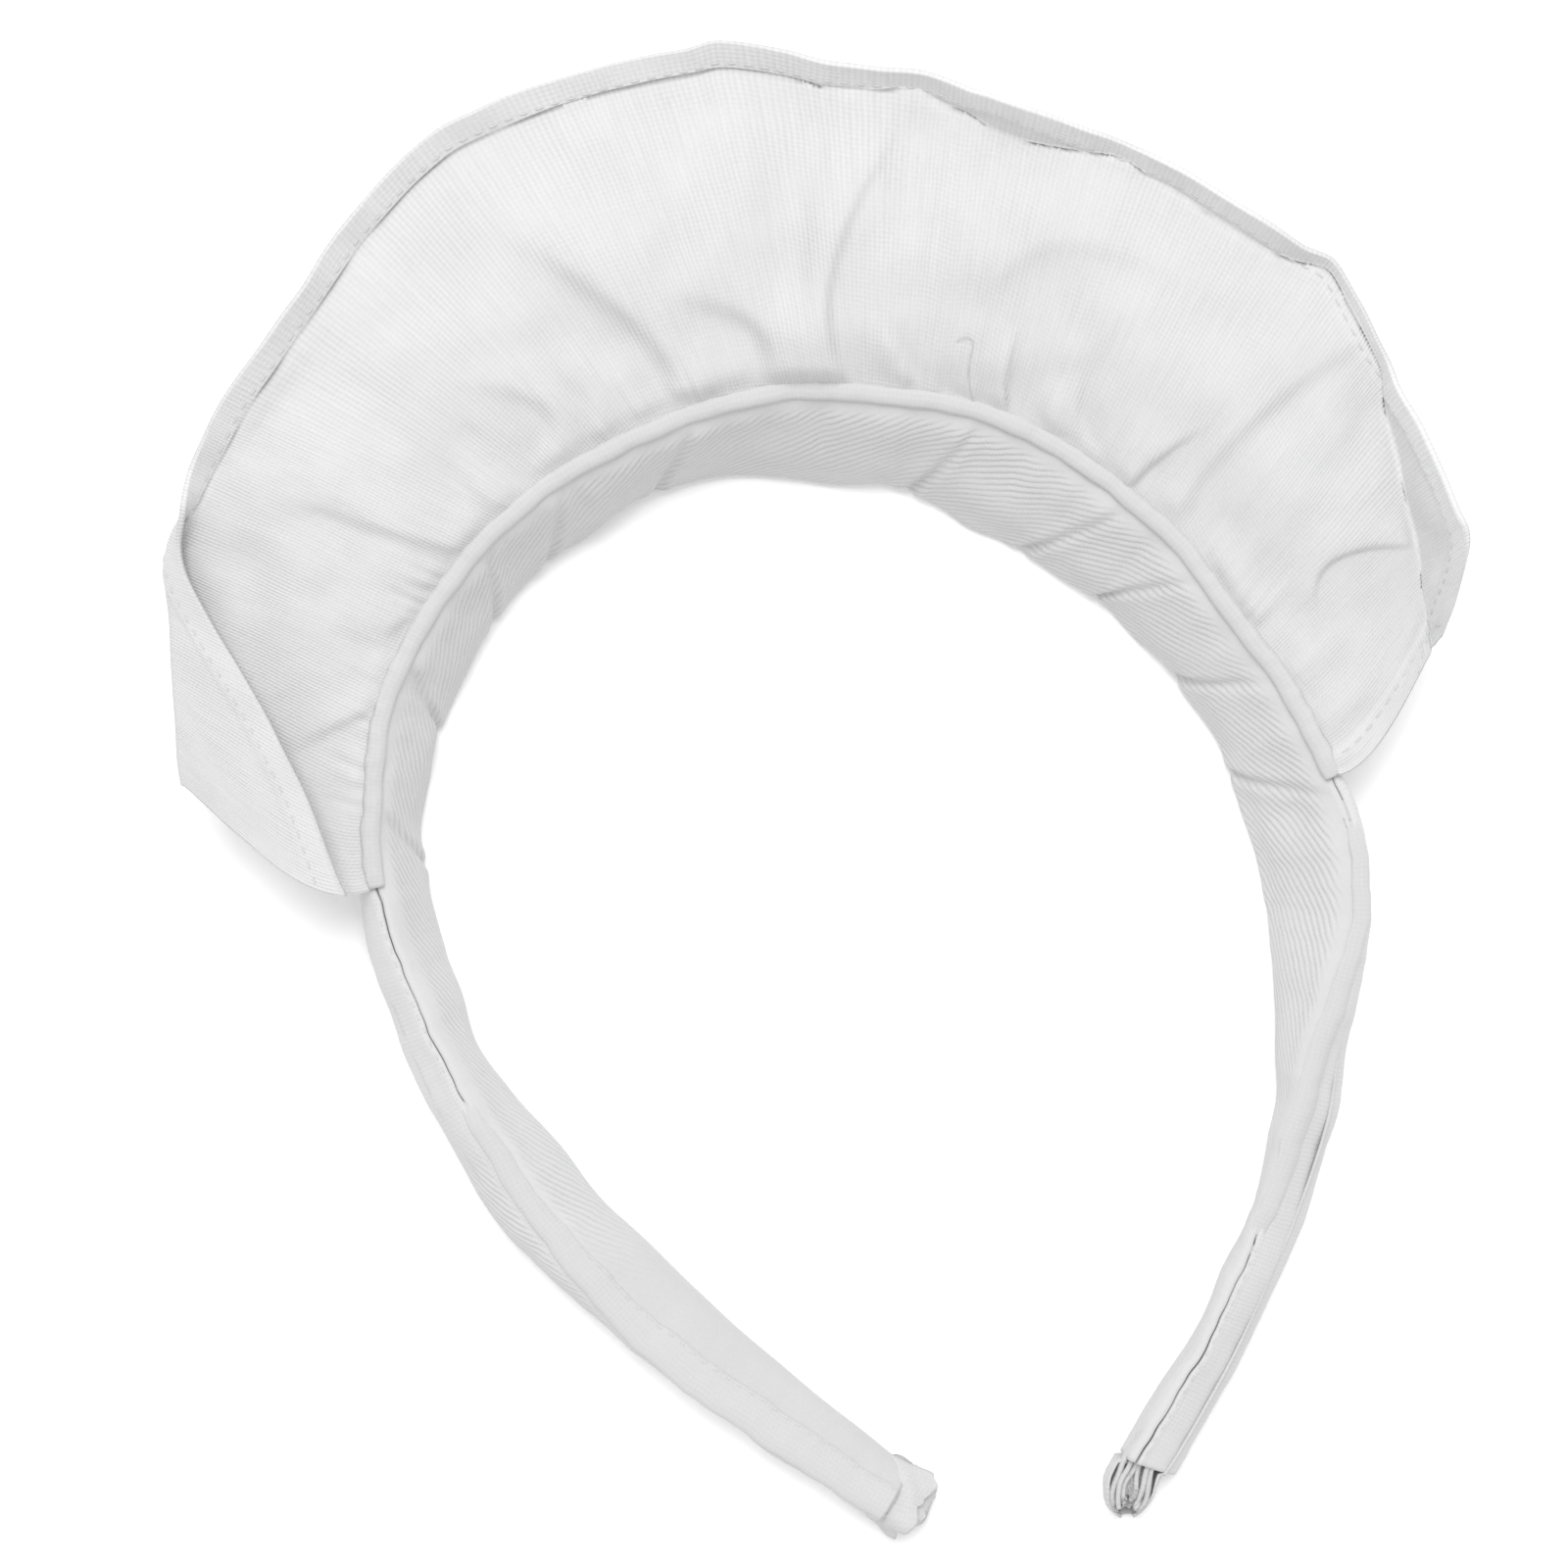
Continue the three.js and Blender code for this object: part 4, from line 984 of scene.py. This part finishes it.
def make_tip_layers():
    """The loose raw layers at both tips, and the threads that fray off."""
    parts = []
    frays = []
    draw = np.random.default_rng(FRAY_SEED)
    rows, columns = GRIDS["tip"]
    share = np.linspace(0, 1, rows)
    for end, inset, short, height, rag, deep in zip(*TIP_LAYERS.values()):
        left = end < 0
        start = TUBE_START + TIP_ROOT if left else TUBE_END - TIP_ROOT
        stop = TIPS["along"][0 if left else -1]
        section = band_sections(start + (stop - end * short - start) * share)
        tucked = inset + (TIP_TUCK + abs(min(inset, 0))) * (1 - share)
        sizes = tip_sizes(section["along"])
        out, rise = layer_outline(LEFT_LAYER if left else RIGHT_LAYER, sizes, height, deep)
        middle = out.mean(axis=1, keepdims=True)
        width = np.maximum(np.abs(out[:, -1:] - out[:, :1]), LEAST_WIDTH)
        out = middle + (out - middle) * (1 - 2 * tucked[:, None] / width)
        upper = outline_surface(section, out, section["depth"][:, None] * rise, columns)
        ragged = rag * wander(np.arange(columns), "tip_edge", int(10 * abs(inset)) + (end > 0))
        tangent = np.stack([-section["outward"][:, 1], section["outward"][:, 0]], axis=-1)
        upper[..., :2] += tangent[:, None] * (ragged * share[:, None] ** 3)[..., None]
        upper = lifted(upper, crumple(upper, "tip", int(inset)))
        parts.append(sheet_part(upper, lifted(upper, -TIP_CLOTH), flat_places(upper)))
        rim = np.concatenate([upper[-1], upper[-FRAY_ROOTS:, 0], upper[-FRAY_ROOTS:, -1]])
        ahead = np.array([*(-end * tangent[-1]), 0.0])
        for place in rim[draw.integers(0, len(rim), FRAYS)]:
            lean = unit(-ahead * FRAY_LEAN + draw.normal(size=3) * FRAY_SPREAD)
            curl = unit(draw.normal(size=3)) * FRAY_CURL
            t = np.linspace(0, 1, FRAY_POINTS)[:, None]
            frays.append(place + (lean * t + curl * t * t) * draw.uniform(*FRAY_LENGTHS))
    points, faces, places = strands(np.array(frays), FRAY_THREAD, 4)
    points[..., 2] = np.maximum(points[..., 2], FRAY_CLEAR)
    return join_parts("tip_layers", parts), new_piece("frays", points, faces, places)


# Frill

def frill_rows():
    """Shares of the way out to the fold line, of the turn and of the flap."""
    out, turn, flap = (np.linspace(0, 1, points) for points in GRIDS["frill"][1])
    return out ** OUT_SPREAD, turn[1:], flap[1:]


def frill_middle(seams):
    """The middle of the frill's cloth before it is gathered, with each point's share of
    the way out and its distance from the hem's edge."""
    columns = ("x", "y", "z", "turn", "flap", "crown", "bow")
    read = {c: smooth_read(FRILL, seams, c)[:, None] for c in columns}
    band = band_sections(SEAM_START + (SEAM_END - SEAM_START) * seams)
    height = band["depth"] + CLEAR + FRILL_CLOTH / 2
    root = in_section(band, np.full(len(seams), SEAM_OFFSET), height)
    fold = np.concatenate([read["x"], read["y"], read["z"]], axis=1)
    turn = np.radians(read["turn"])
    ahead = fold - root
    length = np.linalg.norm(ahead, axis=1, keepdims=True)
    ahead = ahead / length
    side = unit(np.cross([0, 0, 1], ahead))
    above = np.cross(ahead, side)
    out_share, turn_share, flap_share = frill_rows()
    main = length - FOLD_RADIUS * np.sin(np.minimum(turn, math.pi / 2))
    round_length = FOLD_RADIUS * turn
    flap = np.maximum(read["flap"] - SOLID_RADIUS * turn, LEAST_FLAP)
    angle = turn * turn_share
    out = [
        main * out_share,
        main + FOLD_RADIUS * np.sin(angle),
        main + FOLD_RADIUS * np.sin(turn) + np.cos(turn) * flap * flap_share,
    ]
    up = [
        read["crown"] * np.sin(math.pi * out_share),
        FOLD_RADIUS * (1 - np.cos(angle)),
        FOLD_RADIUS * (1 - np.cos(turn)) + np.sin(turn) * flap * flap_share,
    ]
    from_hem = [
        (1 - out_share) * main + round_length + flap,
        round_length * (1 - turn_share) + flap,
        flap * (1 - flap_share),
    ]
    out, up, from_hem = (np.concatenate(part, axis=1) for part in (out, up, from_hem))
    bow = read["bow"] * np.sin(math.pi * np.clip(out / main, 0, 1) ** BOW_PEAK)
    share = np.concatenate([out_share, 1 + 0 * turn_share, 1 + 0 * flap_share])
    points = root[:, None] + ahead[:, None] * out[..., None] + above[:, None] * up[..., None]
    points = points + side[:, None] * bow[..., None]
    return points, np.broadcast_to(share, out.shape), from_hem


def crest_places(points, start, middle, end):
    """Each point's place along a curved crest, from 0 to 1, and its distance to the left."""
    t = np.linspace(0, 1, CREST_POINTS)[:, None]
    control = 2 * middle - (start + end) / 2
    crest = (1 - t) ** 2 * start + 2 * t * (1 - t) * control + t * t * end
    way = unit(np.gradient(crest, axis=0))
    gap = points[..., None, :] - crest
    nearest = np.argmin((gap ** 2).sum(axis=-1), axis=-1)
    gap = np.take_along_axis(gap, nearest[..., None, None], axis=-2)[..., 0, :]
    way = way[nearest]
    left = way[..., 0] * gap[..., 1] - way[..., 1] * gap[..., 0]
    ahead = (way * gap).sum(axis=-1)
    return nearest / (len(t) - 1) + ahead / np.linalg.norm(end - start), left


def gather_height(points, seam, share):
    """Height of the folds and gathers over the smooth cloth."""
    plan = points[..., :2]
    height = np.zeros_like(share)
    for x0, y0, x1, y1, x2, y2, tall, width, skew in zip(*FOLDS.values()):
        corners = np.array([(x0, y0), (x1, y1), (x2, y2)])
        place, left = crest_places(plan, *corners)
        steep, shallow = width * (1 - FOLD_STEEP * skew), width * (1 + FOLD_SHALLOW * skew)
        across = np.exp(-((left / np.where(left > 0, steep, shallow)) ** 2))
        height += tall * across * ease(place, "fold_start") * (1 - ease(place, "fold_end"))
    swing = wander(seam, "gather_swing")
    strength = np.clip(FINE_GATHER_LEVEL + wander(seam, "gather_strength"), 0, FINE_GATHER_MOST)
    fade = ease(share, "gather_root") * (1 - ease(share, "gather_end")) ** FINE_GATHER_FADE
    waves = np.sin(FULL_TURN * (FINE_GATHERS * seam + swing))
    fine = FINE_GATHER_HEIGHT * strength * fade * waves
    return (height * ease(share, "fold_root") + fine) * ease(1 - share, "frill_hem")


def square_distance(middle, from_hem):
    """Distances from the hem's edge, square to it where the threads meet it at a slant."""
    edge_way = unit(np.gradient(middle[:, -1], axis=0))
    thread_way = unit(middle[:, -1] - middle[:, -4])
    slant = np.linalg.norm(np.cross(edge_way, thread_way), axis=-1)
    points = 2 * SLANT_CALM + 1
    padded = np.pad(slant, SLANT_CALM, mode="edge")
    calm = np.convolve(padded, np.full(points, 1 / points), mode="valid")
    return from_hem * np.clip(calm, LEAST_SLANT, 1)[:, None]


def make_frill():
    """The gathered frill, with its two sides, and distances from its hem and left end."""
    seams = np.linspace(0, 1, GRIDS["frill"][0])
    smooth, share, from_hem = frill_middle(seams)
    seam = np.broadcast_to(seams[:, None], share.shape)
    height = gather_height(smooth, seam, share)
    calm = ease(share, "calm_root") * (1 - ease(share, "calm_hem"))
    height = height + (crumple(smooth, "frill") + crumple(smooth, "frill_fine")) * calm
    flap_waves = crumple(smooth, "flap") * ease(share, "flap")
    middle = lifted(smooth, height + flap_waves)
    reach = walked(middle)
    square_to_hem = square_distance(middle, from_hem)
    hem = 1 - ease(np.minimum(square_to_hem, reach[-1] - reach), "hem")
    half = FRILL_CLOTH / 2 + HEM_EXTRA * hem
    upper, lower = lifted(middle, half), lifted(middle, -half)
    cloth = np.stack([seam * FRILL_FLAT[0], from_hem], axis=-1)
    points, faces, places = sheet_part(upper, lower, cloth)
    angle = smooth_read(FRILL, seams, "turn")[:, None]
    # Painted light: where the frill's edge is turned up, the strip stands steeply and catches less
    # of the lamp, so its "hem" attribute is raised by RAISED_STRIP_LIGHT and the cloth there is
    # painted lighter. On the hems themselves the attribute is the hem's share.
    raised = ease(angle, "turned_up") * (1 - ease(angle, "turned_over")) * ease(share, "past_fold")
    hem_and_strip_light = hem + RAISED_STRIP_LIGHT * raised
    piece = new_piece("frill_cloth", points, faces, places, np.stack([hem_and_strip_light, hem_and_strip_light]))
    return piece, upper, lower, square_to_hem, reach


def make_hem_stitches(upper, lower, from_hem, reach):
    """Stitches along the long hem and the right end's hem, on both faces of the frill."""
    parts = []
    normals = grid_normals(upper)
    end = slice(-HEM_END_ROWS, None)
    from_end = (reach[-1] - reach)[end, 2:].T
    for grid, side in ((upper, 1), (lower, -1)):
        long_hem = (line_at(part, from_hem, HEM_STITCH_PLACE) for part in (grid, normals))
        turned = (np.swapaxes(part[end, 2:], 0, 1) for part in (grid, normals))
        end_hem = (line_at(part, from_end, HEM_STITCH_PLACE) for part in turned)
        for line, lift in (long_hem, end_hem):
            parts.append(stitches(line, side * lift, HEM_STITCH))
    return join_parts("hem_stitches", parts)


def near(grid, x, y):
    """The point of a grid that is nearest to a place seen from above."""
    gap = np.hypot(grid[..., 0] - x, grid[..., 1] - y)
    return grid[np.unravel_index(np.argmin(gap), gap.shape)]


def make_loose_thread(frill_top):
    """A thread end that lies on the frill."""
    rows = zip(*LOOSE_THREAD.values())
    corners = np.array([near(frill_top, x, y) + np.array([0, 0, up]) for x, y, up in rows])
    knots = {"at": np.arange(len(corners), dtype=float), **{k: corners[:, k] for k in range(3)}}
    at = np.linspace(0, len(corners) - 1, PATH_POINTS)
    path = np.stack([smooth_read(knots, at, k) for k in range(3)], axis=-1)
    points, faces, places = strands(path[None], LINT_THREAD)
    return new_piece("loose_thread", points, faces, places)


def make_fleck(wall):
    """A curled bit of lint on the inner wall."""
    t = np.linspace(0, FULL_TURN, CURL_POINTS)
    side, up = (np.sin(turns * t) for turns in CURL_TURNS)
    middle, rise = CURL_HEIGHTS
    curl = np.stack([np.cos(t), side, middle + rise * up], axis=-1)
    path = near(wall, *FLECK) + curl * FLECK_SIZE / 2
    points, faces, places = strands(path[None], LINT_THREAD)
    return new_piece("fleck", points, faces, places)


def make_band_stitches(edge, normals):
    """Stitches on the left leg's folded edge, and in the groove of both legs."""
    rows = slice(EDGE_STITCH_ROWS)
    line, lift = (grid[rows, EDGE_STITCH_COLUMN] for grid in (edge, normals))
    parts = [stitches(line, lift, BAND_STITCH)]
    for first, last in GROOVE_STITCHES:
        section = band_sections(np.linspace(first, last, GROOVE_STITCH_ROWS))
        out = smooth_read(GROOVE, section["along"], "gape") + GROOVE_STITCH_OUT
        line = in_section(section, out, section["depth"] + GROOVE_STITCH_UP)
        parts.append(stitches(line, np.broadcast_to([0, 0, 1], line.shape), BAND_STITCH))
    return join_parts("band_stitches", parts)


# Materials

def add_node(tree, kind, **settings):
    """A shader node with its settings, and with values or links at its inputs."""
    node = tree.nodes.new("ShaderNode" + kind)
    for name, value in settings.items():
        if name not in node.inputs.keys():
            setattr(node, name, value)
        elif isinstance(value, bpy.types.NodeSocket):
            tree.links.new(value, node.inputs[name])
        else:
            node.inputs[name].default_value = value
    return node


def calculate(tree, operation, *values):
    """The output of a math node over sockets and numbers."""
    node = tree.nodes.new("ShaderNodeMath")
    node.operation = operation
    for socket, value in zip(node.inputs, values):
        if isinstance(value, bpy.types.NodeSocket):
            tree.links.new(value, socket)
        else:
            socket.default_value = value
    return node.outputs[0]


def thread_wave(tree, cloth, way, pitch, wobble, turns):
    """A wave from 0 to 1 across threads. way is the direction across them on the cloth,
    and wobble moves them sideways by up to a number of turns."""
    dot = add_node(tree, "VectorMath", operation="DOT_PRODUCT", Vector=cloth)
    dot.inputs[1].default_value = (way[0] / pitch, way[1] / pitch, 0)
    bent = calculate(tree, "MULTIPLY_ADD", wobble, turns, dot.outputs["Value"])
    wave = calculate(tree, "SINE", calculate(tree, "MULTIPLY", bent, FULL_TURN))
    return calculate(tree, "MULTIPLY_ADD", wave, 0.5, 0.5)


def rise_between(tree, value, start, end):
    """A smooth rise from 0 to 1 between two values."""
    reach = add_node(tree, "MapRange", interpolation_type="SMOOTHSTEP", Value=value)
    reach.inputs["From Min"].default_value = start
    reach.inputs["From Max"].default_value = end
    return reach.outputs["Result"]


def cloth_noise(tree, cloth, size, detail=2.0):
    """Noise of about a size in millimetres over the cloth, from 0 to 1."""
    scaled = add_node(tree, "VectorMath", operation="MULTIPLY", Vector=cloth)
    scaled.inputs[1].default_value = (1 / size[0], 1 / size[1], 1)
    noise = add_node(tree, "TexNoise", noise_dimensions="2D", Scale=1, Detail=detail)
    tree.links.new(scaled.outputs[0], noise.inputs["Vector"])
    return noise.outputs[0]


def cloth_material(name, weave, tone, shade, relief, thin=0, slub=0, hem_and_painted_light=0):
    """A cotton material. weave returns the height of its threads from 0 to 1, tone is how
    pale the cloth is, shade how much darker it is painted between the threads, as painted
    shade in their grooves, relief their height in millimetres, thin how much light passes
    through, slub how uneven the threads are and hem_and_painted_light how much darker the cloth is
    where its "hem" attribute is set, or lighter where it is negative; on the frill that
    attribute carries its hems and painted light on its turned-up strips."""
    material = bpy.data.materials.new(name)
    material.use_nodes = True
    tree = material.node_tree
    shader = tree.nodes["Principled BSDF"]
    cloth = add_node(tree, "UVMap", uv_map="cloth").outputs[0]
    height = weave(tree, cloth)
    patches = cloth_noise(tree, cloth, PATCHES, PATCH_DETAIL)
    grain = cloth_noise(tree, cloth, GRAIN)
    lint = cloth_noise(tree, cloth, LINT)
    # Painted shade: the colour is darker by shade in the grooves between the threads, where the
    # weave's height is low.
    level = calculate(tree, "MULTIPLY_ADD", height, shade, 1 - shade)
    for noise, strength in ((patches, PATCH_SHADE), (grain, GRAIN_SHADE), (lint, slub)):
        darkest = calculate(tree, "SUBTRACT", level, strength / 2)
        level = calculate(tree, "MULTIPLY_ADD", noise, strength, darkest)
    # The "hem" attribute scales the colour by hem_and_painted_light. On the frill the cloth comes
    # out lighter there: partly the doubled hem's own paleness, partly painted light on the hems and
    # turned-up strips, which stand steeply and catch less of the lamp.
    hem = add_node(tree, "Attribute", attribute_name="hem").outputs["Fac"]
    level = calculate(tree, "MULTIPLY", level, calculate(tree, "MULTIPLY_ADD", hem, -hem_and_painted_light, 1))
    pale = (tone, tone, tone)
    colour = add_node(tree, "VectorMath", operation="SCALE", Vector=pale, Scale=level).outputs[0]
    tree.links.new(colour, shader.inputs["Base Color"])
    for socket, value in COTTON.items():
        shader.inputs[socket].default_value = value
    relief_height = calculate(tree, "MULTIPLY_ADD", grain, GRAIN_RELIEF, height)
    relief_height = calculate(tree, "MULTIPLY_ADD", lint, SLUB_RELIEF * slub, relief_height)
    bump = add_node(tree, "Bump", Strength=1, Distance=relief * MM, Height=relief_height).outputs[0]
    tree.links.new(bump, shader.inputs["Normal"])
    if thin:
        through = add_node(tree, "BsdfTranslucent", Color=colour, Normal=bump)
        both = add_node(tree, "MixShader", Fac=thin)
        tree.links.new(shader.outputs[0], both.inputs[1])
        tree.links.new(through.outputs[0], both.inputs[2])
        tree.links.new(both.outputs[0], tree.nodes["Material Output"].inputs["Surface"])
    return material


def cloth_distances(tree, cloth):
    """Distances on the cloth: along it from the left tip, and across it from the groove."""
    places = add_node(tree, "SeparateXYZ", Vector=cloth)
    return places.outputs["X"], places.outputs["Y"]


def rib_wave(tree, cloth, way, wobble):
    """The twill's ribs, from 0 to 1, with broad tops."""
    ribs = thread_wave(tree, cloth, way, TWILL_PITCH, wobble, RIB_WOBBLE)
    return calculate(tree, "POWER", ribs, RIB_SHARPNESS)


def product(tree, first, second, third):
    """The product of three sockets."""
    return calculate(tree, "MULTIPLY", calculate(tree, "MULTIPLY", first, second), third)


def twill_weave(tree, cloth):
    """Diagonal ribs that fade towards the ridge, with the threads along them, and painted
    shade that darkens the cloth towards the left tip.
    """
    across, along = TWILL_WAY
    wobble = cloth_noise(tree, cloth, RIB_WOBBLE_SIZE)
    ribs = rib_wave(tree, cloth, (across, along), wobble)
    threads = thread_wave(tree, cloth, (along, -across), TWILL_THREAD, wobble, TWILL_WOBBLE)
    from_tip, from_groove = cloth_distances(tree, cloth)
    fade = rise_between(tree, from_groove, *RIDGE_FADE)
    near_hand = rise_between(tree, from_tip, *HAND_FADE)
    wear = cloth_noise(tree, cloth, TWILL_WEAR)
    worn = calculate(tree, "MULTIPLY_ADD", wear, *TWILL_WEAR_LEVELS)
    strength = product(tree, fade, calculate(tree, "MINIMUM", worn, 1), near_hand)
    ribs = calculate(tree, "MULTIPLY", ribs, RIB_SHARE)
    woven = calculate(tree, "MULTIPLY_ADD", threads, 1 - RIB_SHARE, ribs)
    flat = calculate(tree, "SUBTRACT", woven, TWILL_LEVEL)
    # Painted shade: towards the left tip the level drops by TWILL_TIP_SHADE_LEVELS, which paints
    # the twill darker there.
    level = calculate(tree, "MULTIPLY_ADD", near_hand, *TWILL_TIP_SHADE_LEVELS)
    return calculate(tree, "MULTIPLY_ADD", flat, strength, level)


def back_weave(tree, cloth):
    """Plain weave, with the twill's ribs on the lower part of the left leg."""
    across, along = TWILL_WAY
    plain = plain_weave(PLAIN_PITCH, 0.5)(tree, cloth)
    ribs = rib_wave(tree, cloth, (across, -along), cloth_noise(tree, cloth, RIB_WOBBLE_SIZE))
    ribs = calculate(tree, "MULTIPLY_ADD", ribs, *BACK_RIB_LEVELS)
    from_tip, from_groove = cloth_distances(tree, cloth)
    below = calculate(tree, "SUBTRACT", 1, rise_between(tree, from_tip, *BACK_RIBS_END))
    beyond = rise_between(tree, from_tip, *BACK_TIP_FADE)
    strength = product(tree, below, beyond, rise_between(tree, from_groove, *BACK_RIDGE_FADE))
    change = calculate(tree, "SUBTRACT", ribs, plain)
    return calculate(tree, "MULTIPLY_ADD", change, strength, plain)


def plain_weave(pitch, warp_share):
    """Crossing threads of a pitch. warp_share is how much the lengthwise ones show."""
    def weave(tree, cloth):
        wobble = cloth_noise(tree, cloth, PLAIN_WOBBLE_SIZE)
        warp = thread_wave(tree, cloth, (1, 0), pitch, wobble, PLAIN_WOBBLE)
        weft = thread_wave(tree, cloth, (0, 1), pitch * WEFT_PITCH, wobble, PLAIN_WOBBLE)
        both = calculate(tree, "MULTIPLY", weft, 1 - warp_share)
        woven = calculate(tree, "MULTIPLY_ADD", warp, warp_share, both)
        wear = cloth_noise(tree, cloth, PLAIN_WEAR)
        worn = calculate(tree, "MULTIPLY", wear, PLAIN_WEAR_LEVEL)
        worn = calculate(tree, "MINIMUM", worn, 1)
        flat = calculate(tree, "SUBTRACT", woven, PLAIN_LEVEL)
        return calculate(tree, "MULTIPLY_ADD", flat, worn, PLAIN_LEVEL)
    return weave


def floor_material():
    """A plain pale floor."""
    material = bpy.data.materials.new("floor")
    material.use_nodes = True
    for socket, value in FLOOR_LOOKS.items():
        material.node_tree.nodes["Principled BSDF"].inputs[socket].default_value = value
    return material


def make_camera():
    """A camera straight over the headband."""
    data = bpy.data.cameras.new("camera")
    data.sensor_width = SENSOR
    data.lens = SENSOR * (CAMERA_HEIGHT - FRAME_LEVEL) / FRAME_WIDTH
    data.clip_start = 0.01
    camera = bpy.data.objects.new("camera", data)
    camera.location = (np.array([0, 0, CAMERA_HEIGHT]) + PLAN_SHIFT) * MM
    camera.rotation_euler = (0, 0, CAMERA_ROLL)
    bpy.context.scene.collection.objects.link(camera)
    bpy.context.scene.camera = camera


def make_stage():
    """A pale floor, one large soft light and a bright surround."""
    bpy.ops.mesh.primitive_plane_add(size=FLOOR_SIZE, location=(0, 0, 0))
    floor = bpy.context.object
    floor.name = "floor"
    floor.data.materials.append(floor_material())
    light = bpy.data.lights.new("key", "AREA")
    light.size = LAMP_SIZE
    light.energy = LAMP_POWER
    lamp = bpy.data.objects.new("key", light)
    lamp.location = LAMP_PLACE
    lamp.rotation_euler = (LAMP_TILT, 0, 0)
    bpy.context.scene.collection.objects.link(lamp)
    world = bpy.data.worlds.new("surround")
    world.use_nodes = True
    world.node_tree.nodes["Background"].inputs["Color"].default_value = (1, 1, 1, 1)
    world.node_tree.nodes["Background"].inputs["Strength"].default_value = SURROUND
    bpy.context.scene.world = world
    bpy.context.scene.view_settings.view_transform = "Standard"


make_camera()
make_stage()
plain = plain_weave(PLAIN_PITCH, 0.5)
twill = cloth_material("twill", twill_weave, tone=0.55, shade=0.16, relief=0.13)
back_cloth = cloth_material("back_cloth", back_weave, tone=0.56, shade=0.06, relief=0.06)
plain_cloth = cloth_material("plain_cloth", plain, tone=0.5, shade=0.05, relief=0.03)
raw_cloth = cloth_material("raw_cloth", plain, tone=0.68, shade=0.08, relief=0.06, thin=0.25)
sewing = plain_weave(SEWING_PITCH, 0.8)
thread = cloth_material("thread", sewing, tone=0.55, shade=0.1, relief=0.02)
# The frill's hems are painted lighter by hem_and_painted_light: partly the doubled cloth's own
# paleness, partly painted light on hems and turned-up strips that stand steeply and catch less of
# the lamp.
voile = cloth_material(
    "frill_cloth", plain_weave(VOILE_PITCH, 0.7),
    tone=0.66, shade=0.1, relief=0.07, thin=0.18, slub=0.08, hem_and_painted_light=-0.03,
)

lining = make_wall("lining", lining_surface, BAND_CLOTH)
cover = make_wall("cover", cover_surface, COVER_CLOTH)
filling = make_filling()
tip_layers, frays = make_tip_layers()
welt = make_welt()
frill, frill_upper, frill_lower, frill_from_hem, frill_reach = make_frill()
hem_stitches = make_hem_stitches(frill_upper, frill_lower, frill_from_hem, frill_reach)
loose_thread = make_loose_thread(frill_upper)
fleck = make_fleck(lining_surface(np.linspace(*FLECK_WALL), GRIDS["lining"][1])[0])
left_upper, left_lower, left_normals = make_edge(LEFT_EDGE, "left_edge")
right_upper, right_lower, _ = make_edge(RIGHT_EDGE, "right_edge")
edges = join_parts("folded_edges", [
    sheet_part(left_upper, left_lower, flat_places(left_upper)),
    sheet_part(right_upper, right_lower, flat_places(right_upper)),
])
band_stitches = make_band_stitches(left_upper, left_normals)

for piece, material, node, slot in (
    (lining, twill, "band_lining", "twill"),
    (cover, back_cloth, "band_cover", "plain_cloth"),
    (filling, raw_cloth, "band_filling", "raw_cloth"),
    (tip_layers, raw_cloth, "band_filling", "raw_cloth"),
    (frays, raw_cloth, "band_filling", "raw_cloth"),
    (welt, plain_cloth, "seam_welt", "plain_cloth"),
    (frill, voile, "frill", "frill_cloth"),
    (hem_stitches, thread, "frill", "frill_cloth"),
    (loose_thread, thread, "frill", "frill_cloth"),
    (fleck, thread, "band_lining", "twill"),
    (edges, plain_cloth, "band_cover", "plain_cloth"),
    (band_stitches, thread, "band_cover", "plain_cloth"),
):
    piece.data.materials.append(material)
    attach(piece, "root")
    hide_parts(node)

for piece, flat, held, rests, others in (
    (lining, LINING_FLAT, "folded", "filling", [fleck]),
    (cover, COVER_FLAT, "folded", "filling", [edges, band_stitches, welt]),
    (filling, FILLING_FLAT, "folded", "lining", [tip_layers, frays]),
    (frill, FRILL_FLAT, "gathered", "welt", [hem_stitches, loose_thread]),
):
    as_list(others)
